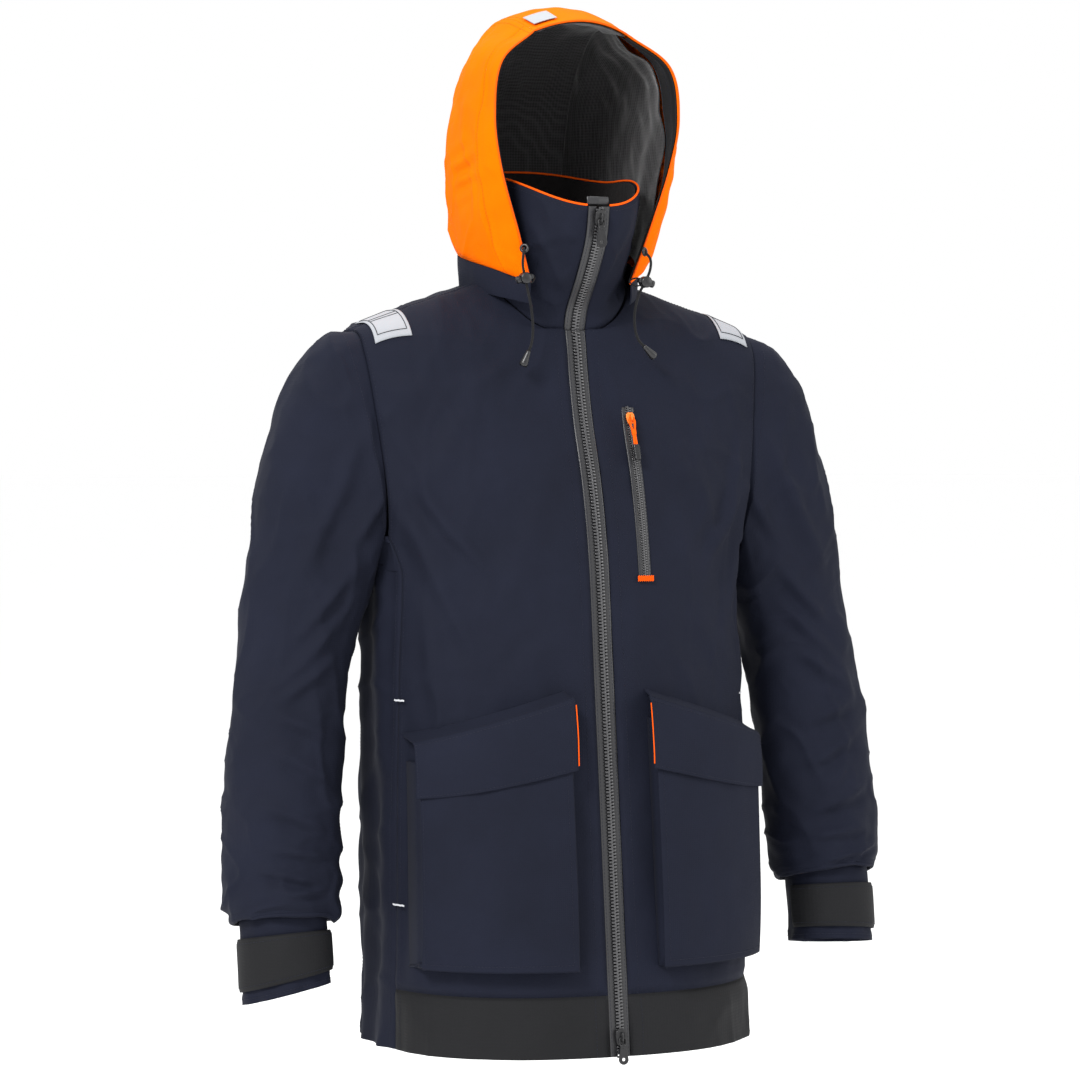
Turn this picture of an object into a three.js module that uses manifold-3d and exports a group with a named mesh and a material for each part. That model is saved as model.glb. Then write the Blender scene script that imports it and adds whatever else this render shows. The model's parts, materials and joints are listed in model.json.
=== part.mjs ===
// A foul weather jacket as it stands when worn: shell panels, hood, collar, sleeves, pockets and zips.
// Millimetres, +Z up, the front faces -Y and the wearer's left is +X.
// The jacket is laid out from a level line just above its hem, then moved so that the hang loop is the origin.
import * as THREE from "three";
import { mergeVertices } from "three/addons/utils/BufferGeometryUtils.js";
import Module from "manifold-3d";

// ---- Driving dimensions ----
const FABRIC = 2.6; // thickness of the shell fabric with its backing
const GAP = 0.3; // clearance between two pieces that touch
const ROUNDNESS = 2.4; // exponent of the body's cross-section: 2 is an ellipse
const TOOTH_HALF = 3; // half width of one row of zip teeth
const TAPE_HALF = 11; // from the centre front to the edge of a zip tape
const HEM_BAND = 41; // height of the top edge of the reinforced band along the front hem
const SLEEVE_SIDE_DROP = 12; // the right sleeve hangs this much lower and the left one this much higher
const CORD_RADIUS = 1.4; // elastic drawcord
const HANG_POINT = new THREE.Vector3(0, 66, 806); // inside the back of the neck

// The body from hem to neck seam: side height, front height, back height, half width, front reach, back reach.
const BODY_LEVELS = [
  [-21, -21, -21, 204, 194.4, 125],
  [120, 120, 120, 204, 178.5, 125],
  [240, 240, 240, 205, 165, 125],
  [360, 360, 360, 205, 151, 125],
  [480, 480, 480, 205, 137, 127],
  [560, 560, 560, 230, 119, 128],
  [625, 620, 630, 247, 97, 126],
  [682, 668, 690, 248, 84, 118],
  [716, 700, 730, 228, 78, 108],
  [737, 713, 755, 184, 75, 98],
  [756, 720, 772, 128, 73, 88],
  [772, 716, 785, 82, 72, 82],
];
// The stand-up collar from the neck seam to its top edge, in the same terms.
const COLLAR_LEVELS = [
  [774.5, 718.8, 787.5, 80, 71, 80],
  [792, 742, 808, 76, 79, 78],
  [812, 775, 836, 75, 106, 78],
  [842, 811, 866, 77, 130, 80],
  [880, 845, 893, 79, 138, 82],
];
// The middle of a lower sleeve, from above the elbow to the gathered end: x, y, z, half width, half depth.
const SLEEVE_LEVELS = [
  [288, -5, 373, 58, 60],
  [302, -15, 267, 60, 60],
  [308, -34, 150, 59, 58],
  [309, -38, 128, 48, 48],
];
// The line that parts a sleeve from the body, x and z: down the armhole seam, then between arm and flank.
const ARMHOLE_LINE = [
  [225, 820],
  [222, 700],
  [211, 600],
  [201, 512],
  [205.6, 470],
  [208, 440],
  [218, 373],
  [228, 267],
  [230, -60],
];
// The seam where the hood joins the neck, from its front corner round to the back of the neck.
const HOOD_SEAM = [
  [56, -88, 768],
  [80, -48, 783],
  [91, 0, 794],
  [84, 46, 802],
  [50, 80, 807],
];
// The edge of the hood's face opening, from that corner up to the seam of the centre panel.
const HOOD_RIM = [
  [56, -88, 768],
  [72, -96, 817],
  [94, -102, 885],
  [103, -107, 941],
  [94, -104, 994],
  [52, -88, 1028],
];
// The seam beside the hood's centre panel, from the rim over the crown down to the back of the neck.
const HOOD_CROWN_SEAM = [
  [52, -88, 1028],
  [57, -30, 1045],
  [60, 20, 1041],
  [61, 64, 1009],
];
const HOOD_BACK_SEAM = [
  [50, 80, 807],
  [54, 98, 850],
  [58, 101, 905],
  [61, 91, 962],
  [61, 64, 1009],
];

// ---- Materials ----
const paint = (color, roughness, metalness = 0) => new THREE.MeshStandardMaterial({ color, roughness, metalness });
const navy = paint(0x2b2d3a, 0.85);
const charcoal = paint(0x2c2d30, 0.8);
const orange = paint(0xff7a14, 0.75);
const trimOrange = paint(0xf4661f, 0.6);
const blackMesh = paint(0x17181c, 0.9);
const fleece = paint(0x1f1d1e, 0.95);
const tapeBlack = paint(0x232427, 0.5);
const toothBlack = paint(0x0c0c0e, 0.25);
const plasticBlack = paint(0x111114, 0.3);
const cordBlack = paint(0x161619, 0.8);
const reflective = paint(0xd7dadf, 0.35, 0.1);

// ---- Solids: making, cutting and joining ----
const wasm = await Module();
wasm.setup();

// Turns every face outwards if the geometry came out inside out.
function facingOut(geometry) {
  const g = geometry.index ? geometry.toNonIndexed() : geometry;
  const p = g.getAttribute("position");
  const corners = [0, 1, 2].map(() => new THREE.Vector3());
  let volume = 0;
  for (let i = 0; i < p.count; i += 3) {
    corners.forEach((corner, k) => corner.fromBufferAttribute(p, i + k));
    volume += corners[0].dot(corners[1].clone().cross(corners[2]));
  }
  if (volume < 0) {
    for (let i = 0; i < p.count; i += 3) {
      corners[0].fromBufferAttribute(p, i);
      corners[1].fromBufferAttribute(p, i + 1);
      p.setXYZ(i, corners[1].x, corners[1].y, corners[1].z);
      p.setXYZ(i + 1, corners[0].x, corners[0].y, corners[0].z);
    }
  }
  g.deleteAttribute("normal");
  g.deleteAttribute("uv");
  return g;
}

function solidOf(geometry) {
  const g = facingOut(geometry.clone());
  const merged = mergeVertices(g, 1e-4);
  return new wasm.Manifold(
    new wasm.Mesh({
      numProp: 3,
      vertProperties: merged.getAttribute("position").array,
      triVerts: new Uint32Array(merged.index.array),
    }),
  );
}

function geometryOf(solid) {
  const mesh = solid.getMesh();
  const g = new THREE.BufferGeometry();
  g.setAttribute("position", new THREE.BufferAttribute(mesh.vertProperties, 3));
  g.setIndex(new THREE.BufferAttribute(mesh.triVerts, 1));
  return g.toNonIndexed();
}

const cut = (from, ...tools) => tools.reduce((left, tool) => left.subtract(tool), from);

// Moves every vertex of a closed geometry by a rule, which bends it onto the jacket.
function bend(geometry, rule) {
  const p = geometry.getAttribute("position");
  for (let i = 0; i < p.count; i++) {
    const at = rule(p.getX(i), p.getY(i), p.getZ(i));
    p.setXYZ(i, at.x, at.y, at.z);
  }
  return facingOut(geometry);
}

// A closed sheet bent onto point(u, v, depth): u and v run 0 to 1, depth is 0 on the inside and 1 on the outside.
function sheet(across, up, point) {
  const box = new THREE.BoxGeometry(1, 1, 1, across, up, 1);
  return bend(box, (x, y, z) => point(x + 0.5, y + 0.5, z + 0.5));
}

// A full solid inside point(angle, t): rings are stacked from t = 0 to t = 1 and both ends are closed.
function stack(around, along, point) {
  const profile = [new THREE.Vector2(0, 0)];
  for (let k = 0; k <= along; k++) profile.push(new THREE.Vector2(1, k / along));
  profile.push(new THREE.Vector2(0, 1));
  return bend(new THREE.LatheGeometry(profile, around), (x, y, z) => {
    const radius = Math.hypot(x, z);
    const rim = point(Math.atan2(z, x), y);
    if (radius > 0.5) return rim;
    return rim.clone().add(point(Math.atan2(z, x) + Math.PI, y)).multiplyScalar(0.5).setX(point(Math.PI / 2, y).x);
  });
}

// A prism whose outline lies in the X-Z or Y-Z plane and which reaches equally far either way along the third axis.
function prism(outline, reach, plane) {
  const shape = new THREE.Shape(outline.map(([a, b]) => new THREE.Vector2(a, b)));
  const g = new THREE.ExtrudeGeometry(shape, { depth: 2 * reach, bevelEnabled: false });
  g.translate(0, 0, -reach);
  g.rotateX(Math.PI / 2);
  if (plane === "YZ") g.rotateZ(Math.PI / 2);
  return facingOut(g);
}

function block(x0, x1, y0, y1, z0, z1) {
  const g = new THREE.BoxGeometry(x1 - x0, y1 - y0, z1 - z0);
  g.translate((x0 + x1) / 2, (y0 + y1) / 2, (z0 + z1) / 2);
  return facingOut(g);
}

const vectors = (rows) => rows.map(([x, y, z]) => new THREE.Vector3(x, y, z));
const mirrored = (rows, side) => rows.map(([x, ...rest]) => [x * side, ...rest]);

// A round cord or piping along a hand-laid route.
function cord(rows, radius, sides, steps) {
  const section = new THREE.Shape();
  for (let k = 0; k < sides; k++) {
    const angle = (2 * Math.PI * k) / sides;
    if (k === 0) section.moveTo(radius, 0);
    else section.lineTo(radius * Math.cos(angle), radius * Math.sin(angle));
  }
  section.closePath();
  const extrudePath = new THREE.CatmullRomCurve3(vectors(rows));
  return facingOut(new THREE.ExtrudeGeometry(section, { steps, extrudePath, bevelEnabled: false }));
}

// A plate with rounded corners in the X-Z plane, its back at y = 0 and its face at y = -thickness.
function plate(width, height, corner, thickness, hole) {
  const shape = new THREE.Shape();
  const a = width / 2 - corner;
  const b = height / 2 - corner;
  shape.absarc(a, b, corner, 0, Math.PI / 2);
  shape.absarc(-a, b, corner, Math.PI / 2, Math.PI);
  shape.absarc(-a, -b, corner, Math.PI, 1.5 * Math.PI);
  shape.absarc(a, -b, corner, 1.5 * Math.PI, 2 * Math.PI);
  if (hole) {
    const opening = new THREE.Path();
    opening.absarc(0, hole.z, hole.radius, 0, 2 * Math.PI, true);
    shape.holes.push(opening);
  }
  const g = new THREE.ExtrudeGeometry(shape, { depth: thickness, bevelEnabled: false, curveSegments: 4 });
  g.rotateX(Math.PI / 2);
  return facingOut(g);
}

// ---- The form of the body ----

// A smooth value at t (0 to 1) along one column of a table of levels.
function along(levels, column, t) {
  const last = levels.length - 1;
  const at = Math.min(Math.max(t, 0), 1) * last;
  const k = Math.min(Math.floor(at), last - 1);
  const f = at - k;
  const value = (i) => levels[Math.min(Math.max(i, 0), last)][column];
  const [p0, p1, p2, p3] = [value(k - 1), value(k), value(k + 1), value(k + 2)];
  const slope0 = (p2 - p0) / 2;
  const slope1 = (p3 - p1) / 2;
  const f2 = f * f;
  const f3 = f2 * f;
  return (2 * f3 - 3 * f2 + 1) * p1 + (f3 - 2 * f2 + f) * slope0 + (3 * f2 - 2 * f3) * p2 + (f3 - f2) * slope1;
}

const rounded = (s) => Math.sign(s) * Math.abs(s) ** (2 / ROUNDNESS);

// A point of the body or the collar: angle 0 is the wearer's left, -90 degrees is the front.
function ringPoint(levels, angle, t, outward = 0) {
  const c = Math.cos(angle);
  const s = Math.sin(angle);
  const [side, front, back, halfWidth, frontReach, backReach] = [0, 1, 2, 3, 4, 5].map((k) => along(levels, k, t));
  const reach = (s < 0 ? frontReach : backReach) + outward;
  const height = side + ((s < 0 ? front : back) - side) * s * s;
  return new THREE.Vector3((halfWidth + outward) * rounded(c), reach * rounded(s), height);
}

// The point of a ring's front half that lies at a given x.
function frontPoint(levels, t, x, outward) {
  const share = Math.min(1, Math.abs(x) / (along(levels, 3, t) + outward)) ** (ROUNDNESS / 2);
  const fromSide = Math.acos(share);
  return ringPoint(levels, x < 0 ? fromSide - Math.PI : -fromSide, t, outward);
}

// The body's outer surface at a given x and z on the front, pushed outwards by some millimetres.
function onFront(x, z, outward) {
  const low = (t) => along(BODY_LEVELS, 1, t) < z;
  let [t0, t1] = [0, 1];
  for (let k = 0; k < 24; k++) {
    const middle = (t0 + t1) / 2;
    if (low(middle)) t0 = middle;
    else t1 = middle;
  }
  const halfWidth = along(BODY_LEVELS, 3, t0) + outward;
  const reach = along(BODY_LEVELS, 4, t0) + outward;
  const share = Math.max(0, 1 - Math.abs(x / halfWidth) ** ROUNDNESS) ** (1 / ROUNDNESS);
  return new THREE.Vector3(x, -reach * share, z);
}

// ---- The sleeves ----
// A ring round a sleeve: angle 0 faces away from the body, -90 degrees is the front, 180 degrees the armpit.

const HOLLOW_RUN = 6; // a hollow is cut this much longer than its solid, so that the end is open

function armholeX(z) {
  const below = ARMHOLE_LINE.findIndex(([, height]) => height < z);
  const [x1, z1] = ARMHOLE_LINE[below];
  const [x0, z0] = ARMHOLE_LINE[below - 1];
  return x1 + ((x0 - x1) * (z - z1)) / (z0 - z1);
}

// The share of the body's height, searched upwards from a start, at which the armhole line meets its side.
function armholeEnd(start, step) {
  let t = start;
  while (along(BODY_LEVELS, 3, t) > armholeX(along(BODY_LEVELS, 0, t))) t += step;
  return t;
}
const ARMPIT = armholeEnd(0.45, -0.001);
const SHOULDER = armholeEnd(0.6, 0.001);

// The body's outer edge at the armhole.
function armhole(angle) {
  const t = ARMPIT + (SHOULDER - ARMPIT) * (0.5 + 0.5 * Math.cos(angle));
  const at = new THREE.Vector3(0, 0, along(BODY_LEVELS, 0, t));
  for (let k = 0; k < 4; k++) {
    const share = Math.min(1, armholeX(at.z) / along(BODY_LEVELS, 3, t)) ** (ROUNDNESS / 2);
    at.copy(ringPoint(BODY_LEVELS, Math.acos(share) * (Math.sin(angle) < 0 ? -1 : 1), t));
  }
  return at;
}
const ARMHOLE_MIDDLE = armhole(0).add(armhole(Math.PI)).multiplyScalar(0.5);

function lowerSleeve(side, t) {
  const centre = (s) =>
    new THREE.Vector3(
      along(SLEEVE_LEVELS, 0, s),
      along(SLEEVE_LEVELS, 1, s),
      along(SLEEVE_LEVELS, 2, s) + SLEEVE_SIDE_DROP * side,
    );
  const down = centre(Math.min(t + 0.02, 1)).sub(centre(Math.max(t - 0.02, 0))).normalize();
  const across = new THREE.Vector3(0, 1, 0).cross(down).normalize().negate();
  return { centre: centre(t), down, across, forward: across.clone().cross(down).normalize() };
}

const SLEEVE_HEAD = 0.55; // share of a sleeve's rings that lead from the armhole to the lower sleeve
const OFF_SHOULDER = new THREE.Vector3(0.98, 0, -0.17); // the way the cloth leaves the shoulder point
const OFF_ARMPIT = new THREE.Vector3(0.15, 0, -0.99);
const SHOULDER_FULLNESS = 0.8; // how strongly the sleeve head keeps to those ways

function sleevePoint(side, angle, t, outward = 0) {
  const levelAt = Math.max(0, (t - SLEEVE_HEAD) / (1 - SLEEVE_HEAD));
  const low = lowerSleeve(side, levelAt);
  const to = low.centre;
  to.addScaledVector(low.across, (along(SLEEVE_LEVELS, 3, levelAt) + outward) * Math.cos(angle));
  to.addScaledVector(low.forward, (along(SLEEVE_LEVELS, 4, levelAt) + outward) * Math.sin(angle));
  if (t < SLEEVE_HEAD) {
    const from = armhole(angle);
    const spread = from.clone().sub(ARMHOLE_MIDDLE).setX(0).normalize();
    from.addScaledVector(spread, outward);
    from.x -= 2 - 2 * outward; // the start is trimmed along the armhole afterwards
    const length = from.distanceTo(to);
    const leave = OFF_SHOULDER.clone().lerp(OFF_ARMPIT, (1 - Math.cos(angle)) / 2).normalize();
    const s = t / SLEEVE_HEAD;
    const s2 = s * s;
    const s3 = s2 * s;
    const at = from.clone().multiplyScalar(2 * s3 - 3 * s2 + 1).addScaledVector(to, 3 * s2 - 2 * s3);
    at.addScaledVector(leave, (s3 - 2 * s2 + s) * length * SHOULDER_FULLNESS);
    at.addScaledVector(low.down, (s3 - s2) * length);
    to.copy(at);
  }
  return to.setX(to.x * side);
}

// ---- The scene ----
const jacket = new THREE.Group();
const layout = new THREE.Group();
layout.position.copy(HANG_POINT).negate();
jacket.add(layout);

function piece(name, geometry, material, parent = layout) {
  const mesh = new THREE.Mesh(geometry, material);
  mesh.name = name;
  parent.add(mesh);
  return mesh;
}
const sides = [
  ["right", -1],
  ["left", 1],
];

// ---- Body shell: cut out of one hollow form along the seams ----
const AROUND = 40; // sides of the body's rings
const BODY_RINGS = 15;
const BELOW = -60; // heights and reaches beyond every part of the jacket, for the cutting blocks
const ABOVE = 900;
const BEYOND = 400;
const outerBody = solidOf(stack(AROUND, BODY_RINGS, (angle, t) => ringPoint(BODY_LEVELS, angle, t)));
const innerBody = solidOf(
  stack(AROUND, BODY_RINGS, (angle, t) => {
    const at = ringPoint(BODY_LEVELS, angle, t, -FABRIC);
    const throughHem = -5 * (1 - Math.min(1, t * 8)); // the hollow runs out through the hem
    const underShoulders = t > 0.7 ? -FABRIC * 2.6 * (1 - t) : 0; // keeps the cloth's thickness where it lies flat
    return at.setZ(at.z + throughHem + underShoulders);
  }),
);
const THROAT = { below: 12, height: 40 }; // opens the neck
const throat = solidOf(
  stack(AROUND, 2, (angle, t) => {
    const at = ringPoint(BODY_LEVELS, angle, 1, -FABRIC);
    return at.setZ(at.z - THROAT.below + THROAT.height * t);
  }),
);
const armRegion = (side, grow) => {
  const line = ARMHOLE_LINE.map(([x, z]) => [side * (x - grow), z]);
  return solidOf(prism([...line, [side * BEYOND, BELOW], [side * BEYOND, ABOVE]], BEYOND, "XZ"));
};
const bodyShell = cut(outerBody, innerBody, throat, armRegion(-1, GAP), armRegion(1, GAP));

const SIDE_SEAM_FRONT = -64;
const SIDE_SEAM_BACK = 62;
const SHOULDER_SEAM = -8;
const SEAM_TURN = 470; // the height at which the side seams lean in towards the shoulder seam
const SEAM_MEETING = 640;
const frontRegion = (grow) => [
  [-BEYOND, BELOW],
  [SIDE_SEAM_FRONT + grow, BELOW],
  [SIDE_SEAM_FRONT + grow, SEAM_TURN],
  [SHOULDER_SEAM + grow, SEAM_MEETING],
  [SHOULDER_SEAM + grow, ABOVE],
  [-BEYOND, ABOVE],
];
const backRegion = (grow) => [
  [BEYOND, BELOW],
  [SIDE_SEAM_BACK - grow, BELOW],
  [SIDE_SEAM_BACK - grow, SEAM_TURN],
  [SHOULDER_SEAM - grow, SEAM_MEETING],
  [SHOULDER_SEAM - grow, ABOVE],
  [BEYOND, ABOVE],
];
const frontShell = bodyShell.intersect(solidOf(prism(frontRegion(-GAP), BEYOND, "YZ")));
const backShell = bodyShell.intersect(solidOf(prism(backRegion(-GAP), BEYOND, "YZ")));
const sideShell = cut(
  bodyShell,
  solidOf(prism(frontRegion(0), BEYOND, "YZ")),
  solidOf(prism(backRegion(0), BEYOND, "YZ")),
);
for (const [name, side] of sides) {
  const slab = (x0, x1, z0, z1) => solidOf(block(x0, x1, -BEYOND, BEYOND, z0, z1));
  const tapeEdge = TAPE_HALF + GAP;
  const half = side < 0 ? slab(-BEYOND, -tapeEdge, BELOW, ABOVE) : slab(tapeEdge, BEYOND, BELOW, ABOVE);
  const above = slab(-BEYOND, BEYOND, HEM_BAND + GAP, ABOVE);
  const below = slab(-BEYOND, BEYOND, BELOW, HEM_BAND);
  piece(`front_panel_${name}`, geometryOf(frontShell.intersect(half).intersect(above)), navy);
  piece(`hem_band_${name}`, geometryOf(frontShell.intersect(half).intersect(below)), charcoal);
  piece(`side_panel_${name}`, geometryOf(sideShell.intersect(half)), navy);
}
piece("back_panel", geometryOf(backShell), navy);

// ---- Sleeves with gathered ends, inner cuffs and cuff straps ----
const SLEEVE_AROUND = 24;
const SLEEVE_RINGS = 13;
const CUFF_TAPER = 160; // above the sleeve's end the cuff narrows by one part in this many millimetres
const CUFF_TOP = 26; // how far the inner cuff reaches up inside the sleeve
const CUFF_LENGTH = 76; // from the sleeve's gathered end to the end of the cuff
const CUFF_HALF = [46, 45]; // half width and half depth of the inner cuff
const CUFF_TILT = -0.16; // the wrist leans forward
// The strap is sewn down at the end of its run; out is how far its inner face stands off the cuff.
const STRAP = { top: -16, height: 47, thickness: 2.4, out: GAP + 0.7, from: -2.97, to: 0.38 };
for (const [name, side] of sides) {
  const outer = solidOf(stack(SLEEVE_AROUND, SLEEVE_RINGS, (angle, t) => sleevePoint(side, angle, t)));
  const inner = solidOf(
    stack(SLEEVE_AROUND, SLEEVE_RINGS, (angle, t) => {
      const at = sleevePoint(side, angle, t, -FABRIC);
      return t > 0.999 ? at.setZ(at.z - HOLLOW_RUN) : at;
    }),
  );
  const sleeve = cut(outer, inner).intersect(armRegion(side, 0));
  piece(`sleeve_${name}`, geometryOf(sleeve), navy);

  const end = sleevePoint(side, 0, 1).add(sleevePoint(side, Math.PI, 1)).multiplyScalar(0.5);
  const cuffGroup = new THREE.Group();
  cuffGroup.position.copy(end);
  cuffGroup.rotation.x = CUFF_TILT;
  layout.add(cuffGroup);
  const cuffPoint = (angle, height, outward) => {
    const taper = height < 0 ? 1 : 1 - height / CUFF_TAPER;
    return new THREE.Vector3(
      side * (CUFF_HALF[0] * taper + outward) * Math.cos(angle),
      (CUFF_HALF[1] * taper + outward) * Math.sin(angle),
      height,
    );
  };
  const cuffStack = (longer, outward) =>
    solidOf(
      stack(SLEEVE_AROUND, 3, (angle, t) =>
        cuffPoint(angle, CUFF_TOP + longer - t * (CUFF_TOP + CUFF_LENGTH + 2 * longer), outward),
      ),
    );
  const cuffShell = cut(cuffStack(0, 0), cuffStack(4, -FABRIC));
  piece(`inner_cuff_${name}`, geometryOf(cuffShell), navy, cuffGroup);
  const strap = sheet(22, 1, (u, v, depth) =>
    cuffPoint(
      STRAP.from + u * (STRAP.to - STRAP.from),
      STRAP.top - STRAP.height * (1 - v),
      STRAP.out + depth * STRAP.thickness,
    ),
  );
  piece(`cuff_strap_${name}`, strap, charcoal, cuffGroup);
}

// ---- Collar: outer shell, fleece lining and piping, open at the centre front ----
// The angle at which a ring's x reaches the edge of the zip tape.
function frontAngle(levels, t, x) {
  const share = (x / along(levels, 3, t)) ** (ROUNDNESS / 2);
  return Math.acos(Math.min(1, share));
}
function aroundCollar(u, t, outward, x) {
  const start = -Math.PI / 2 + (Math.PI / 2 - frontAngle(COLLAR_LEVELS, t, x));
  const angle = start + u * 2 * (Math.PI / 2 - start);
  return ringPoint(COLLAR_LEVELS, angle, t, outward);
}
const COLLAR_EDGE = TAPE_HALF + 2 * GAP + 0.2;
piece(
  "collar_shell",
  sheet(28, 5, (u, v, depth) => aroundCollar(u, v, (depth - 1) * FABRIC, COLLAR_EDGE)),
  navy,
);
const LINING = { inset: FABRIC + 1, thickness: 2.2, share: 0.985 }; // it ends a little below the collar's edge
piece(
  "collar_lining",
  sheet(28, 5, (u, v, depth) => {
    const outward = -LINING.inset - (1 - depth) * LINING.thickness;
    return aroundCollar(u, v * LINING.share, outward, COLLAR_EDGE);
  }),
  fleece,
);
const PIPING = { radius: 1.3, lift: 1.8, steps: 24 };
const pipingRoute = [];
for (let k = 0; k <= PIPING.steps; k++) {
  const at = aroundCollar(k / PIPING.steps, 1, -PIPING.radius, COLLAR_EDGE + 1.5);
  pipingRoute.push([at.x, at.y, at.z + PIPING.lift]);
}
piece("collar_piping", cord(pipingRoute, PIPING.radius, 6, 28), trimOrange);

// ---- Main zip: two tapes and two rows of teeth that follow the centre front ----
const ZIP_BREAK = 0.86; // share of the zip's length below the neck seam
function centreFront(v, outward) {
  if (v < ZIP_BREAK) return ringPoint(BODY_LEVELS, -Math.PI / 2, v / ZIP_BREAK, outward);
  return ringPoint(COLLAR_LEVELS, -Math.PI / 2, (v - ZIP_BREAK) / (1 - ZIP_BREAK), outward);
}
const ZIP_STEPS = 28;
for (const [name, side] of sides) {
  const strip = (x0, x1, out0, out1) =>
    sheet(1, ZIP_STEPS, (u, v, depth) => {
      const at = centreFront(v, out0 + depth * (out1 - out0));
      return at.setX(side * (x0 + u * (x1 - x0)));
    });
  piece(`zip_tape_${name}`, strip(TOOTH_HALF + GAP, TAPE_HALF, -FABRIC, -0.6), tapeBlack);
  piece(`zip_teeth_${name}`, strip(GAP / 2, TOOTH_HALF, -FABRIC, 0.8), toothBlack);
}
// The storm flap lies behind the zip, inside the front; from and to are shares of the body's height.
const STORM_FLAP = { half: 24, from: 0.03, to: 0.83, behind: FABRIC + 2, thickness: 1.6 };
const stormFlap = sheet(2, 15, (u, v, depth) => {
  const share = STORM_FLAP.from + (STORM_FLAP.to - STORM_FLAP.from) * v;
  const x = STORM_FLAP.half * (2 * u - 1);
  return frontPoint(BODY_LEVELS, share, x, -STORM_FLAP.behind - (1 - depth) * STORM_FLAP.thickness);
});
piece("storm_flap", stormFlap, navy);

// The garage that covers the top slider's end of the zip inside the collar.
const GARAGE = { half: 12, middle: -134.2, curl: 1.6, thickness: 2.4, bottom: 847, height: 9 };
const garage = sheet(4, 1, (u, v, depth) => {
  const across = 2 * u - 1;
  const y = GARAGE.middle + GARAGE.thickness * (0.5 - depth) + GARAGE.curl * Math.abs(across);
  return new THREE.Vector3(GARAGE.half * across, y, GARAGE.bottom + GARAGE.height * v);
});
piece("zip_garage", garage, tapeBlack);

// The bridge is a small arch on a slider's face, with an eye right through it for the pull.
const BRIDGE = { half: 1.6, rise: 3.9, root: 0.5, reach: 4 };
const EYE = { half: 3, outer: 2.9, inner: 0.3, bottom: -2.4, top: 1.7 };
const HINGE = { out: 1.6, height: -0.3 }; // the middle of the eye, from the slider's face

// A slider rides over the closed teeth; its pull hangs from the bridge.
function sliderAt(name, point, tilt, pull, material, pullMaterial, size) {
  const group = new THREE.Group();
  group.position.copy(point);
  group.rotation.x = tilt;
  layout.add(group);
  const body = solidOf(plate(size.width, size.height, size.width * 0.3, size.thickness));
  const face = -size.thickness;
  const bridge = solidOf(
    block(-BRIDGE.half, BRIDGE.half, face - BRIDGE.rise, face + BRIDGE.root, -BRIDGE.reach, BRIDGE.reach),
  );
  const eye = solidOf(block(-EYE.half, EYE.half, face - EYE.outer, face - EYE.inner, EYE.bottom, EYE.top));
  piece(`${name}_slider`, geometryOf(cut(body.add(bridge), eye)), material, group);
  const hinge = new THREE.Group();
  hinge.position.set(0, face - HINGE.out, HINGE.height);
  hinge.rotation.x = -Math.max(0, tilt); // a pull on an overhang hangs straight down
  group.add(hinge);
  pull(hinge, pullMaterial);
  return group;
}
// A teardrop tab that loops through the bridge: a bar through the eye, an arm either side, then the tab.
const PULL_ARM = { middle: 3.6, half: 1, back: 0.5, front: -1.1, top: 0.6, bottom: -8 };
const PULL_BAR = { half: 2.6, depth: 0.4, bottom: -0.9 };
const PULL_TAB = { thickness: 1.8, back: 0.6, below: 6 };
function tabPull(name, length, width) {
  return (hinge, material) => {
    const { middle, half, back, front, top, bottom } = PULL_ARM;
    const bar = solidOf(block(-PULL_BAR.half, PULL_BAR.half, -PULL_BAR.depth, PULL_BAR.depth, PULL_BAR.bottom, top));
    const arms = [-1, 1].map((s) => solidOf(block(s * middle - half, s * middle + half, front, back, bottom, top)));
    const hole = { z: -length * 0.22, radius: width * 0.2 };
    const tab = plate(width, length, width * 0.42, PULL_TAB.thickness, hole);
    tab.translate(0, PULL_TAB.back, -PULL_TAB.below - length / 2);
    const whole = bar.add(arms[0]).add(arms[1]).add(solidOf(tab));
    piece(name, geometryOf(whole), material, hinge);
  };
}
const MAIN_SLIDER = { width: 12, height: 15, thickness: 4.2 };
const LINE_TILT = Math.atan(13.5 / 120); // lean of the straight lower zip from upright
const COLLAR_TILT = 0.25; // lean of the straight zip on the collar, the other way
const topPoint = ringPoint(COLLAR_LEVELS, -Math.PI / 2, 0.9, 2.1);
sliderAt("top", topPoint, COLLAR_TILT, tabPull("top_pull", 24, 11), plasticBlack, plasticBlack, MAIN_SLIDER);
const bottomPoint = ringPoint(BODY_LEVELS, -Math.PI / 2, 0.0185, 1.2);
const bottomPull = tabPull("bottom_pull", 22, 10);
sliderAt("bottom", bottomPoint, -LINE_TILT, bottomPull, plasticBlack, plasticBlack, MAIN_SLIDER);

// ---- Chest pocket: a zip on the wearer's left chest with a cord pull, and its bag inside ----
const CHEST = { x: 51, top: 640, bottom: 462, half: 7.5, tooth: 1.8 };
const chestStrip = (x0, x1, z0, z1, out0, out1) =>
  sheet(2, 12, (u, v, depth) => {
    const x = CHEST.x + x0 + u * (x1 - x0);
    return onFront(x, z0 + v * (z1 - z0), out0 + depth * (out1 - out0));
  });
const CHEST_LIFT = 1.2; // clears the flat facets of the front panel
const chestTapeOut = CHEST_LIFT + 1;
piece(
  "chest_zip_tape",
  chestStrip(-CHEST.half, CHEST.half, CHEST.bottom, CHEST.top, CHEST_LIFT, chestTapeOut),
  tapeBlack,
);
const chestTeethOut = chestTapeOut + GAP;
piece(
  "chest_zip_teeth",
  chestStrip(-CHEST.tooth, CHEST.tooth, CHEST.bottom + 4, CHEST.top - 4, chestTeethOut, chestTeethOut + 1.2),
  toothBlack,
);
const CHEST_BAG = { inner: 40, outer: 132, bottom: 430, top: 620, behind: FABRIC + 4.4, thickness: 2.6 };
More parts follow.
